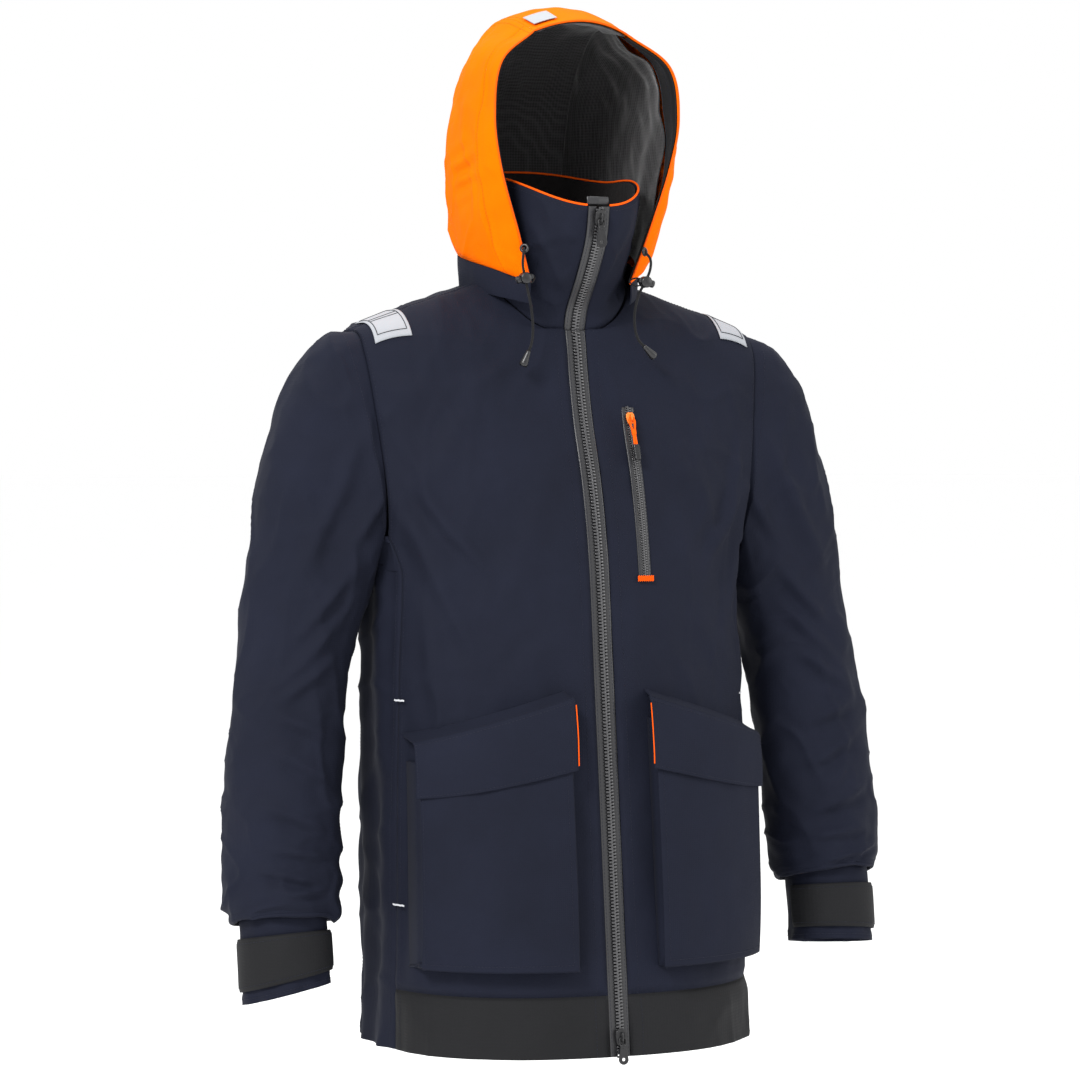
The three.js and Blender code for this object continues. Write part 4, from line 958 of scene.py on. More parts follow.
def build_collar():
    edge = ZIP_EDGE + 0.6
    u, v = np.meshgrid(np.linspace(0, 1, 260), np.linspace(0, 1, 80))
    p = collar_grid(u, v, 0, edge)
    n = normals_of(p, p * np.array([0, 0, 1.0]))
    front = np.clip(-p[..., 1] / 90, 0, 1)
    relief = 2.6 * ripple(p, (40, 40, 42), 21) + 1.3 * ripple(p, (16, 16, 20), 22)
    relief += 1.8 * fold_lines(p, (46, 46, 40), 25)
    relief += 1.8 * front * creases(p, [
        ((-30, -85, 725), (-62, -95, 790), 7, 3.0), ((-14, -80, 735), (-48, -100, 770), 5, 2.6),
        ((-20, -95, 765), (-55, -105, 825), 7, 2.2), ((22, -80, 735), (50, -95, 775), 6, 2.6),
        ((18, -100, 775), (45, -115, 830), 8, 2.0), ((-70, -60, 800), (-30, -118, 815), 8, 1.8),
    ])
    relief = settle(relief, u, {"left": 0.02, "right": 0.02, "bottom": 0.05, "top": 0.06}, 1.0)
    # the lowest rows reach down over the neck seam
    p[:4, :, 2] -= np.linspace(3.2, 0, 4)[:, None]
    shell = grid("collar_shell", p + n * relief[..., None])
    face_outwards(shell)
    shell = finished_cloth(shell, navy)
    rows = [dress(stitches("collar_thread", (p + n * relief[..., None])[-5], n[-5] * 0.15), navy_thread)]
    shell = join([shell, *rows], "collar_shell")
    place(shell, ["collar_shell"])

    q = collar_grid(u, v * 0.99, -4.2, edge)
    m = normals_of(q, q * np.array([0, 0, 1.0]))
    puff = 1.0 * ripple(q, (26, 26, 26), 23) + 0.5 * ripple(q, (6, 6, 6), 24)
    lining = grid("collar_lining", q + m * puff[..., None])
    face_outwards(lining)
    place(finished_cloth(lining, fleece, 2.0 * MM), ["collar_lining"])

    rim = collar_grid(np.linspace(0, 1, 160), np.ones(160), -1.3, edge + 1)
    line = dress(tube("collar_piping", rim + np.array([0, 0, 1.2]), 1.15), piping)
    place(apply_all(line), ["collar_piping"])


# ---- Front zip ---------------------------------------------------------------------------------------------
ZIP_BREAK = 0.86


def centre_front(v, out):
    """The centre front line from hem to collar top, with its outward direction."""
    v = np.asarray(v, float)
    front = -math.pi / 2
    low = ring(BODY, front, v / ZIP_BREAK, out)
    high = ring(COLLAR, front, (v - ZIP_BREAK) / (1 - ZIP_BREAK), out)
    return np.where((v < ZIP_BREAK)[..., None], low, high)


def line_frames(p):
    """Unit steps along a centre line in the Y-Z plane, and the outward direction beside each."""
    ahead = np.gradient(p, axis=0)
    ahead /= np.linalg.norm(ahead, axis=1, keepdims=True)
    out = np.cross(ahead, [1.0, 0, 0])
    out = np.where((out[:, 1] > 0)[:, None], -out, out)
    return ahead, out


def even_line(p, pitch):
    """The same line with its points a fixed distance apart."""
    length = np.concatenate([[0], np.cumsum(np.linalg.norm(np.diff(p, axis=0), axis=1))])
    s = np.arange(0, length[-1], pitch)
    return np.stack([np.interp(s, length, p[:, k]) for k in range(3)], -1)


TOOTH = [  # one tooth, across (x), out (y) and along (z), in millimetres: a shank and a wider head
    (3.1, 0.9, 0.75), (1.0, 1.1, 0.8), (0.2, 1.05, 1.15), (-0.75, 0.8, 1.0),
]


def teeth(name, line, side, width=1.0):
    """A row of moulded teeth along a line; each tooth is lofted from sections that widen to its head."""
    ahead, out = line_frames(line)
    verts, faces = [], []
    for k in range(len(line)):
        first = len(verts)
        for x, half_out, half_along in TOOTH:
            for a, b in ((1, 1), (1, -1), (-1, -1), (-1, 1)):
                offset = np.array([side * x * width, 0, 0]) + out[k] * (0.35 + a * half_out * width)
                verts.append(line[k] + offset + ahead[k] * b * half_along * width)
        for j in range(len(TOOTH) - 1):
            for q in range(4):
                a, b = first + j * 4 + q, first + j * 4 + (q + 1) % 4
                faces.append((a, b, b + 4, a + 4))
        faces.append(tuple(first + q for q in (3, 2, 1, 0)))
        faces.append(tuple(first + 4 * (len(TOOTH) - 1) + q for q in range(4)))
    mesh = bpy.data.meshes.new(name)
    mesh.from_pydata(to_row(verts).tolist(), [], faces)
    mesh.update()
    o = new_object(name, mesh)
    bm = bmesh.new()
    bm.from_mesh(mesh)
    bmesh.ops.recalc_face_normals(bm, faces=bm.faces)
    bm.to_mesh(mesh)
    bm.free()
    m = o.modifiers.new("soft_edges", "BEVEL")
    m.width = 0.22 * width * MM
    m.segments = 2
    o = apply_all(o)
    o.data.shade_smooth()
    return o


def zip_wave(z):
    """The small sideways and outward waver that a long sewn zip has."""
    return 0.5 * np.sin(z / 23.0) + 0.35 * np.sin(z / 9.5 + 1.0)


def build_front_zip():
    v = np.linspace(0, 1, 700)
    line = centre_front(v, 0)
    out = line_frames(line)[1]
    for name, side in SIDES:
        across = np.array([2.6, 4.4, 6.0, 9.0, 11.6])
        lift = np.array([-0.7, -0.3, -0.1, -0.15, -0.55])
        p = line[:, None, :] + out[:, None, :] * (lift + 0.25 * zip_wave(line[:, 2:3]))[..., None]
        p = p + (side * across)[None, :, None] * np.array([1.0, 0, 0])
        tape = grid(f"zip_tape_{name}", p)
        face_outwards(tape)
        tape = finished_cloth(tape, tape_cloth, 0.9 * MM)
        thread = dress(stitches(f"tape_{name}_thread", p[:, 3], out * 0.12), navy_thread)
        place(join([tape, thread], f"zip_tape_{name}"), [f"zip_tape_{name}"])
        own = even_line(line + out * 0.5, 1.7)[(0 if side < 0 else 1)::2]
        row = dress(teeth(f"zip_teeth_{name}", own, side, 1.34), tooth_plastic)
        place(row, [f"zip_teeth_{name}"])
    u, t = np.meshgrid(np.linspace(-24, 24, 12), np.linspace(0.003, 0.95, 130))
    angle = -math.pi / 2 + np.sign(u) * (math.pi / 2 - angle_at_x(BODY, t, u))
    p = ring(BODY, angle, t, -5.0)
    flap = grid("storm_flap", p)
    face_outwards(flap)
    place(finished_cloth(flap, navy), ["storm_flap"])
    u, w = np.meshgrid(np.linspace(-12, 12, 20), np.linspace(0, 1, 10))
    y = -134.4 + 1.6 * np.abs(u / 12) - 1.2 * np.sin(math.pi * w)
    garage = grid("zip_garage", np.stack([u, y, 847 + 8.6 * w], -1))
    place(finished_cloth(garage, tape_cloth, 1.4 * MM), ["zip_garage"])


def set_at(o, point, tilt):
    """Puts a piece made around its own origin at a point, leaned by tilt about X."""
    o.location = Vector(to_row(point))
    o.rotation_euler = (tilt, 0, 0)
    return o


SLIDER_LIFT = 0.9  # clears the teeth underneath


def slider_piece(name, point, tilt, size, material, node):
    """A slider: a waisted face plate with raised cheeks and a bridge for the pull."""
    width, height, thick = size
    a, b = width / 2, height / 2
    shape = [
        (-a * 0.62, b), (a * 0.62, b), (a * 0.95, b * 0.62), (a, b * 0.2), (a * 0.86, -b * 0.45),
        (a * 0.74, -b * 0.95), (a * 0.3, -b), (-a * 0.3, -b), (-a * 0.74, -b * 0.95), (-a * 0.86, -b * 0.45),
        (-a, b * 0.2), (-a * 0.95, b * 0.62),
    ]
    plate = outline(f"{name}_plate", [shape], thick - SLIDER_LIFT, 0.6)
    plate.data.transform(Matrix.Translation(Vector((0, -(thick + SLIDER_LIFT) / 2, 0)) * MM))
    bridge_line = [
        (0, -thick + 0.4, -b * 0.62), (0, -thick - 2.6, -b * 0.5), (0, -thick - 3.4, 0),
        (0, -thick - 2.6, b * 0.5), (0, -thick + 0.4, b * 0.62),
    ]
    dense = smooth_line(bridge_line, np.linspace(0, 1, 24)) * MM
    bridge = apply_all(tube(f"{name}_bridge", dense, 0.8, row_frame=True))
    cheeks = [
        rounded_box(
            f"{name}_cheek{s}", (1.2, 0.9, height * 0.6), (s * a * 0.62, -thick - 0.1, 0), 0.35
        ) for s in (-1, 1)
    ]
    o = join([plate, bridge, *cheeks], f"{name}")
    dress(o, material)
    use_first_material(o)
    set_at(o, point, tilt)
    return place(o, [node], node)


def tab_pull(name, point, tilt, length, width, material, body):
    """A pull: a wire ring through the bridge and a teardrop tab with a hole."""
    loop = [(0, 0.4, 0.2), (2.9, 0.1, -1.2), (3.6, -0.3, -5.0), (2.6, -0.4, -8.6), (0, -0.4, -9.8)]
    left = [(-x, y, z) for x, y, z in loop[::-1]][1:-1]
    dense = smooth_line([*loop, *left, loop[0]], np.linspace(0, 1, 60))[:-1] * MM
    ring_wire = apply_all(tube(f"{name}_ring", dense, 0.7, closed=True, row_frame=True))
    half, tip = width / 2, -8.0 - length
    shape = []
    for k in range(13):
        angle = math.pi * k / 12
        shape.append((half * 0.55 * math.cos(angle), -8.5 + half * 0.5 * math.sin(angle)))
    for k in range(17):
        angle = math.pi + math.pi * k / 16
        shape.append((half * math.cos(angle), tip + half + half * math.sin(angle)))
    tab = outline(
        f"{name}_tab",
        [shape, circle(width * 0.24, 20, (0, tip + half)), circle(width * 0.11, 14, (0, -9.4))], 2.0, 0.55
    )
    tab.data.transform(Matrix.Translation(Vector((0, -0.4, -1.0)) * MM))
    o = join([ring_wire, tab], name)
    dress(o, material)
    use_first_material(o)
    set_at(o, point, tilt)
    return place(o, [name], body)


def build_sliders():
    size = (11.5, 15, 4.2)
    top = ring(COLLAR, np.array(-math.pi / 2), np.array(0.9), 2.1)
    slider_piece("top_slider", top, 0.25, size, plastic, "top_slider")
    joint = joint_point("top_pull_swing")
    tab_pull("top_pull", joint, 0.0, 20, 10.5, plastic, "top_pull")
    low = ring(BODY, np.array(-math.pi / 2), np.array(0.0185), 1.2)
    lean = -math.atan(13.5 / 120)
    slider_piece("bottom_slider", low, lean, size, plastic, "bottom_slider")
    joint = joint_point("bottom_pull_swing")
    tab_pull("bottom_pull", joint, lean, 18, 9.5, plastic, "bottom_pull")


def joint_point(name):
    """A hinge's point from the record, in millimetres from the hem."""
    found = next(j for j in record["behaviour"]["joints"] if j["name"] == name)
    return np.array(found["pos_m"]) / MM + HANG


# ---- Chest pocket ------------------------------------------------------------------------------------------
CHEST_X, CHEST_TOP, CHEST_LOW = 51.0, 640.0, 462.0


def build_chest_pocket():
    z = np.linspace(CHEST_LOW, CHEST_TOP, 120)
    across = np.array([-7.5, -6.6, -3.2, -2.0, 2.0, 3.2, 6.6, 7.5])
    lift = np.array([0.2, 1.2, 1.3, 0.9, 0.9, 1.3, 1.2, 0.2])
    x, zz = np.meshgrid(CHEST_X + across, z)
    tape = grid("chest_zip_tape", on_front(x, zz, lift[None, :] * np.ones_like(x) + 0.9))
    face_outwards(tape)
    tape = finished_cloth(tape, tape_cloth, 0.9 * MM)
    threads = []
    for dx in (-6.0, 6.0):
        line = on_front(np.full(len(z), CHEST_X + dx), z, 2.2)
        threads.append(dress(stitches(f"chest_thread{dx:.0f}", line, 0.0), navy_thread))
    arc = [(-9, 632), (-9, 646), (-7, 651), (-2, 654), (3, 654), (8, 651), (10, 646), (10, 632)]
    line = np.array([on_front(CHEST_X + a, b, 1.4) for a, b in arc])
    threads.append(dress(stitches("chest_arch", smooth_line(line, np.linspace(0, 1, 60)), 0.0), navy_thread))
    place(join([tape, *threads], "chest_zip_tape"), ["chest_zip_tape"])
    centre = even_line(on_front(np.full(len(z), CHEST_X), z, 2.1), 1.3)
    rows = [teeth(f"chest_row{side}", centre[(0 if side < 0 else 1)::2], side, 0.95) for side in (-1, 1)]
    place(dress(join(rows, "chest_zip_teeth"), tooth_plastic), ["chest_zip_teeth"])

    bar_x = np.linspace(-9, 9, 16)
    tack = []
    for k in range(5):
        zk = CHEST_LOW - 1.0 + k * 1.1
        wobble = zk + 0.7 * np.where(np.arange(16) % 2, 1, -1)
        tack.append(
            dress(tube(f"tack{k}", on_front(CHEST_X + bar_x, wobble, 3.6), 0.6, resolution=1), piping)
        )
    tack = join([apply_all(t) for t in tack], "chest_bartack")
    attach(tack, "jacket")

    u, v = np.meshgrid(np.linspace(40, 132, 30), np.linspace(430, 620, 50))
    p = on_front(u, v, -6.0)
    bag = grid("chest_pocket_bag", p)
    face_outwards(bag)
    place(finished_cloth(bag, mesh_cloth, 1.4 * MM), ["chest_pocket_bag"])

    point = np.array(joint_point("chest_pull_swing"))
    lean = -math.asin(0.3398)
    slider_piece(
        "chest_slider", on_front(CHEST_X, CHEST_TOP - 12, 4.7), lean, (8, 11, 3), orange_metal,
        "chest_slider"
    )
    loop = [
        (0, 0, 0.4), (1.8, -0.2, -0.6), (2.8, -0.5, -5), (1.6, -0.9, -13), (0.9, -1.2, -20), (1.0, -1.5, -31)
    ]
    back = [(-x, y, z) for x, y, z in loop[::-1]]
    dense = smooth_line([*loop, *back[:-1], loop[0]], np.linspace(0, 1, 90))[:-1] * MM
    strand = apply_all(dress(tube("strand", dense, 1.15, closed=True, row_frame=True), piping))
    knot = rounded_box("knot", (4.8, 3.6, 6), (0, -1.1, -16.5), 1.3)
    pull = join([strand, dress(knot, piping)], "chest_pull_cord")
    place(set_at(pull, point, lean), ["chest_pull_cord"], "chest_pull")
    grip = rounded_box("chest_pull_tip", (6.4, 4.2, 17), (0, -1.6, -38.8), 1.5, 4)
    ribs = [rounded_box(f"rib{k}", (6.9, 4.7, 1.1), (0, -1.6, -34.5 - 2.6 * k), 0.4) for k in range(4)]
    grip = dress(join([grip, *ribs], "chest_pull_tip"), plastic)
    place(set_at(grip, point, lean), ["chest_pull_tip"], "chest_pull")


# ---- Pockets -----------------------------------------------------------------------------------------------
POCKET_IN, POCKET_OUT, POCKET_LOW, POCKET_DEEP = 46.0, 190.0, 68.0, 20.0
FLAP_IN, FLAP_OUT, FLAP_TOP, FLAP_DROP = 42.0, 194.0, 345.0, 74.0
FLAP_SLANT = 46.0  # how much lower a flap's seam is at its outer end
FLAP_NARROWING = 17.0  # how much less a flap drops at its outer end
BELOW_SEAM = 23.0  # from the flap's seam down to the pocket's opening


def flap_share(x):
    return (x - FLAP_IN) / (FLAP_OUT - FLAP_IN)


def flap_top(x):
    return FLAP_TOP - FLAP_SLANT * flap_share(x)


def even_arc(start, stop, u):
    """An x between two others, spaced evenly round the curve of the front."""
    wide = BODY[2, 3]
    a, b = (math.asin((x / wide) ** (ROUNDNESS / 2)) for x in (start, stop))
    return wide * np.sin(a + (b - a) * u) ** (2 / ROUNDNESS)


def build_pocket(name, side):
    columns, rows = 96, 110
    u, v = np.meshgrid(np.linspace(0, 1, columns), np.linspace(0, 1, rows))
    # The outermost rows and columns turn in towards the body and make the bellows.
    fold = 0.055
    inward = np.minimum.reduce([u / fold, (1 - u) / fold, v / fold])
    wall = np.clip(inward, 0, 1)
    puff = 0.55 + 0.45 * np.sin(math.pi * np.clip(v * 0.9 + 0.12, 0, 0.5))
    # Near an edge the bellows go in, then the face starts with a crisp fold.
    depth = np.where(inward < 1, POCKET_DEEP * puff * np.sqrt(wall), POCKET_DEEP * puff)
    x = even_arc(POCKET_IN, POCKET_OUT, np.clip((u - fold) / (1 - 2 * fold), 0, 1))
    z = POCKET_LOW + (flap_top(x) - BELOW_SEAM - POCKET_LOW) * np.clip((v - fold) / (1 - fold), 0, 1)
    tuck = 5.0 * np.where(inward < 1, np.sin(math.pi * wall), 0)
    x = x + np.where(u < 0.5, tuck, -tuck) * (inward < 1) * (np.minimum(u, 1 - u) < fold)
    z = z + tuck * (v < fold)
    face = (inward >= 1) * 1.0
    base = on_front(side * x, z, 0)
    soft = 1.6 * ripple(base, (60, 60, 90), 31 + side) + 0.8 * ripple(base, (22, 22, 40), 32)
    sag = 2.4 * np.exp(-(((u - 0.12) / 0.1) ** 2)) * (1 - v)
    p = on_front(side * x, z, 1.6 + depth + face * (soft + sag) * np.clip((inward - 1) / 3, 0, 1))
    o = grid(f"pocket_{name}", p)
    face_outwards(o)
    o = finished_cloth(o, navy)
    i0, i1, j0 = int(columns * fold) + 3, columns - int(columns * fold) - 4, int(rows * fold) + 3
    out = normals_of(p, p * np.array([0, 0, 1.0]))
    path = np.vstack([p[::-1, i0][: rows - j0], p[j0, i0:i1], p[j0:, i1]])
    lift = np.vstack([out[::-1, i0][: rows - j0], out[j0, i0:i1], out[j0:, i1]])
    thread = dress(stitches(f"pocket_{name}_thread", path, lift * 0.15), navy_thread)
    o = join([o, thread], f"pocket_{name}")
    place(o, [f"pocket_{name}"])


def build_flap(name, side):
    u, v = np.meshgrid(np.linspace(0, 1, 90), np.linspace(0, 1, 48))
    x = even_arc(FLAP_IN, FLAP_OUT, u)
    drop = FLAP_DROP - FLAP_NARROWING * flap_share(x) + 2.5 * np.sin(math.pi * u)
    z = flap_top(x) - drop * (1 - v)
    lift = POCKET_DEEP + 3.0 + 2.6 * np.sin(math.pi * (1 - v) * 0.8)
    lift = lift - 3.5 * np.clip((v - 0.9) / 0.1, 0, 1) ** 2
    base = on_front(side * x, z, lift)
    unevenness = 1.3 * ripple(base, (70, 70, 50), 41 + side) + 0.9 * ripple(base, (25, 25, 25), 42)
    lift = lift + unevenness * (1 - v)
    p = on_front(side * x, z, lift)
    o = grid(f"pocket_flap_{name}", p)
    face_outwards(o)
    o = finished_cloth(o, navy, 2.2 * MM)
    out = normals_of(p, p * np.array([0, 0, 1.0]))
    edge = np.vstack([p[::-1, 2][:-3], p[2, 2:-2], p[3:, -3]])
    lift3 = np.vstack([out[::-1, 2][:-3], out[2, 2:-2], out[3:, -3]])
    parts = [o, dress(stitches(f"flap_{name}_thread", edge, lift3 * 0.15), navy_thread)]
    parts.append(dress(stitches(f"flap_{name}_top", p[-4], out[-4] * 0.15), navy_thread))
    inner_edge = p[3:-5, 0] + np.array([-side * 0.5, 0, 0])
    parts.append(apply_all(dress(tube(f"flap_{name}_piping", inner_edge, 0.6), piping)))
    o = join(parts, f"pocket_flap_{name}")
    place(o, [f"pocket_flap_{name}"], f"pocket_flap_{name}")

    # The strip where the flap is sewn to the front stays behind when the flap lifts.
    u2, v2 = np.meshgrid(np.linspace(0.01, 0.99, 80), np.linspace(0, 1, 10))
    x2 = even_arc(FLAP_IN, FLAP_OUT, u2)
    z2 = flap_top(x2) + 7 * v2 - 1
    strip = grid(f"flap_seam_{name}", on_front(side * x2, z2, 2.0 + (POCKET_DEEP - 1) * (1 - v2) ** 1.5))
    face_outwards(strip)
    dress(thicken(strip), navy)
    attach(apply_all(strip), "jacket")

    # White bar tacks mark both ends of the hand-warmer opening behind the pocket.
    tacks = []
    outer = 196 if side < 0 else 184
    for x0, z0 in ((outer, 338), (outer + 2, 128)):
        for k in range(3):
            line = on_front(
                side * np.linspace(x0 - 5, x0 + 1, 6), z0 + k * 0.6 + np.array([0, 0.4, 0, 0.4, 0, 0.4]), 2.4
            )
            tacks.append(
                apply_all(dress(tube(f"tack_{name}_{x0}_{k}", line, 0.36, resolution=1), white_thread))
            )
    tack = join(tacks, f"hand_warmer_bartacks_{name}")
    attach(tack, "jacket")


# ---- Hood --------------------------------------------------------------------------------------------------
HEAD = np.array([0.0, 0.0, 905.0])


def mirror(rows, side):
    return [[side * x, y, z] for x, y, z in rows]


def inset(p, distance):
    away = (p - HEAD) * np.array([1, 1, 0.75])
    away /= np.linalg.norm(away, axis=-1, keepdims=True)
    return p - away * np.asarray(distance)[..., None] if np.ndim(distance) else p - away * distance


HOOD_ROLL = 15.0  # how far the lower face edge rolls in towards the chin


def hood_side(side, u, v):
    p = patch(
        mirror(HOOD_SEAM, side), mirror(CROWN_SEAM, side), mirror(HOOD_RIM, side), mirror(BACK_SEAM, side), u,
        v
    )
    low = np.sin(math.pi * np.minimum(1, v / 0.62) ** 0.55)
    roll = HOOD_ROLL * (1 - np.exp(-u / 0.05)) * (1 - u) * low
    p[..., 0] += side * (7 * np.sin(math.pi * u) * np.sin(math.pi * v) + roll)
    return p


CROWN_SHARE = 0.43  # share of the centre panel's length that lies over the crown


def crown_line(side, v):
    """The seam beside the centre panel, the same two lines that edge the side panels."""
    over = smooth_line(mirror(CROWN_SEAM, side), v / CROWN_SHARE)
    behind = smooth_line(mirror(BACK_SEAM[::-1], side), (v - CROWN_SHARE) / (1 - CROWN_SHARE))
    return np.where((v < CROWN_SHARE)[..., None], over, behind)


def hood_centre(u, v):
    right, left = crown_line(-1, v), crown_line(1, v)
    p = right * (1 - u[..., None]) + left * u[..., None]
    away = p * np.array([0, 1, 1.0]) - HEAD
    away[..., 2] = np.where(away[..., 2] < 0, away[..., 2] * 0.1, away[..., 2])
    away /= np.linalg.norm(away, axis=-1, keepdims=True)
    return p + away * (14 * (1 - (2 * u - 1) ** 2))[..., None]


HOOD_FOLDS = [
    ((-108, -70, 900), (-95, -20, 880), 7, 3.4), ((-104, -80, 878), (-92, -30, 850), 6, 3.2),
    ((-92, -88, 862), (-96, -20, 905), 7, 2.8), ((-98, -88, 925), (-104, -40, 960), 9, 2.2),
    ((-80, -70, 800), (-94, -20, 850), 8, 2.4), ((-70, -86, 790), (-90, -40, 812), 6, 2.4),
]


def build_hood():
    middle = HEAD
    for name, side in SIDES:
        u, v = np.meshgrid(np.linspace(0, 1, 130), np.linspace(0, 1, 140))
        p = hood_side(side, u, v)
        n = normals_of(p, middle)
        relief = 2.6 * ripple(p, (50, 50, 55), 51 + side) + 1.5 * ripple(p, (18, 20, 24), 53)
        relief += 1.5 * creases(p * np.array([-side, 1, 1.0]), HOOD_FOLDS)
        relief += 2.2 * fold_lines(p, (60, 45, 70), 54 + side) * np.clip((960 - p[..., 2]) / 60, 0.2, 1)
        pinch = np.exp(-(((p[..., 1] + 30) / 26) ** 2) - ((p[..., 2] - 884) / 26) ** 2)
        relief += pinch * (2.6 * np.sin(p[..., 2] / 3.0 + p[..., 1] / 16) - 3.0)
        relief += 1.4 * np.exp(-(((u - 0.115) / 0.014) ** 2)) - 1.6 * np.exp(-(((u - 0.14) / 0.010) ** 2))
        relief = settle(relief, u, {"left": 0.03, "right": 0.03, "top": 0.03, "bottom": 0.03}, 0.0)
        q = p + n * relief[..., None]
        o = grid(f"hood_side_{name}", allowance(q, n, ["right", "top"]))
        orient_from(o, middle)
        o = finished_cloth(o, orange)
        rim = apply_all(dress(tube(f"rim_{name}", q[:, 0], 1.0), piping))
        thread = dress(stitches(f"hood_thread_{name}", q[:, 16], n[:, 16] * 0.15), piping)
        seam = dress(stitches(f"hood_seam_{name}", q[-4], n[-4] * 0.15), piping)
        place(join([o, rim, thread, seam], f"hood_side_{name}"), [f"hood_side_{name}"])

        u, v = np.meshgrid(np.linspace(0, 0.17, 22), np.linspace(0.01, 0.99, 120))
        p = inset(hood_side(side, u, v), 2.4 + 2.2 * np.clip(u / 0.02, 0, 1))
        facing = grid(f"hood_facing_{name}", p)
        orient_from(facing, middle)
        facing = finished_cloth(facing, facing_cloth, 1.2 * MM)
        inward = normals_of(p, middle) * -1.5
        lines = [dress(stitches(f"facing_{name}_{c}", p[:, c], inward[:, c]), navy_thread) for c in (7, 19)]
        place(join([facing, *lines], f"hood_facing_{name}"), [f"hood_facing_{name}"])

        u, v = np.meshgrid(np.linspace(0.15, 1, 90), np.linspace(0.02, 1, 90))
        p = hood_side(side, u, v)
        edge = np.clip(np.minimum(1 - u, 1 - v) / 0.08, 0, 1)
        wave = 5.0 * ripple(p, (40, 40, 60), 61 + side) + 2.6 * ripple(p, (18, 18, 30), 62)
        pinch = np.exp(-(((p[..., 1] + 30) / 34) ** 2) - ((p[..., 2] - 884) / 34) ** 2)
        lining = grid(f"hood_mesh_lining_{name}", inset(p, 6.0 + (4.0 + wave + 8.0 * pinch) * edge))
        orient_from(lining, middle)
        place(finished_cloth(lining, mesh_cloth, 0.8 * MM), [f"hood_mesh_lining_{name}"])

    u, v = np.meshgrid(np.linspace(0, 1, 60), np.linspace(0, 1, 220))
    p = hood_centre(u, v)
    n = normals_of(p, middle)
    relief = 1.6 * ripple(p, (50, 50, 50), 71) + 0.7 * ripple(p, (18, 18, 20), 72)
    relief = settle(relief, u, {"left": 0.06, "right": 0.06, "top": 0.01, "bottom": 0.01}, 0.0)
    q = p + n * relief[..., None]
    o = grid("hood_centre_panel", allowance(q, n, ["left", "right"]))
    orient_from(o, middle)
    o = finished_cloth(o, orange)
    rim = apply_all(dress(tube("rim_centre", q[0], 1.0), piping))
    threads = [dress(stitches(f"centre_thread{c}", q[:, c], n[:, c] * 0.15), piping) for c in (3, 56)]
    place(join([o, rim, *threads], "hood_centre_panel"), ["hood_centre_panel"])

    u, v = np.meshgrid(np.linspace(0.0, 1.0, 50), np.linspace(0.002, 0.97, 150))
    p = hood_centre(u, v)
    wave = 4.0 * ripple(p, (40, 40, 60), 73) + 2.2 * ripple(p, (18, 30, 30), 74)
    edge = np.clip(np.minimum(u, 1 - u) / 0.12, 0, 1)
    inner = 2.6 + (3.4 + (4.0 + wave) * edge) * np.clip(v / 0.05, 0, 1)
    lining = grid("hood_mesh_lining_centre", inset(p, inner))
    orient_from(lining, middle)
    place(finished_cloth(lining, mesh_cloth, 0.8 * MM), ["hood_mesh_lining_centre"])

    seam = [*mirror(HOOD_SEAM, -1), [0, 92, 809], *HOOD_SEAM[::-1]]
    u, v = np.meshgrid(np.linspace(0, 1, 200), np.linspace(0, 1, 26))
    top = smooth_line(seam, u)
    drop = (1 - v) * (22 + 0.04 * (top[..., 1] + 88) + 5 * np.clip((np.abs(top[..., 0]) - 56) / 30, 0, 1))
    p = top.copy()
    p[..., 2] += 0.5 - drop
    p[..., 0] *= 1 + 0.02 * (1 - v)
    away = p * np.array([1, 1, 0.0])
    away /= np.linalg.norm(away, axis=-1, keepdims=True)
    wrinkle = 1.2 * ripple(p, (16, 16, 20), 81) + 1.0 * np.sin(u * 60) * (1 - v) * 0.5
    p = p + away * (1.6 - 3.0 * (1 - v) ** 2 + wrinkle * np.sin(math.pi * v) ** 0.5)[..., None]
    base = grid("hood_base", p)
    face_outwards(base)
    place(finished_cloth(base, navy), ["hood_base"])


def orient_from(o, middle):
    """Turns the faces so that they look away from a point."""
    at = Vector(to_row(middle))
    total = sum(f.normal.dot(f.center - at) for f in o.data.polygons)
    if total < 0:
        o.data.flip_normals()


# ---- Reflectors --------------------------------------------------------------------------------------------
PATCH = {"inner": 174, "outer": 210, "front": -55, "back": 20, "skew": 11}


def on_shoulder(x, y):
    """The top of the shoulder at x and y."""
    t = np.linspace(0.5, 1, 3000)
    z = np.zeros_like(x)
    for k in np.ndindex(x.shape):
        ahead = y[k] < 0
        reach = along(BODY, 4 if ahead else 5, t)
        spread = np.abs(x[k] / along(BODY, 3, t)) ** ROUNDNESS + np.abs(y[k] / reach) ** ROUNDNESS
        near = int(np.argmax(spread > 1))
        s2 = abs(y[k] / reach[near]) ** ROUNDNESS
        side = along(BODY, 0, t[near:near + 1])[0]
        z[k] = side + (along(BODY, 1 if ahead else 2, t[near:near + 1])[0] - side) * s2
    return np.stack([x, y, z], -1)


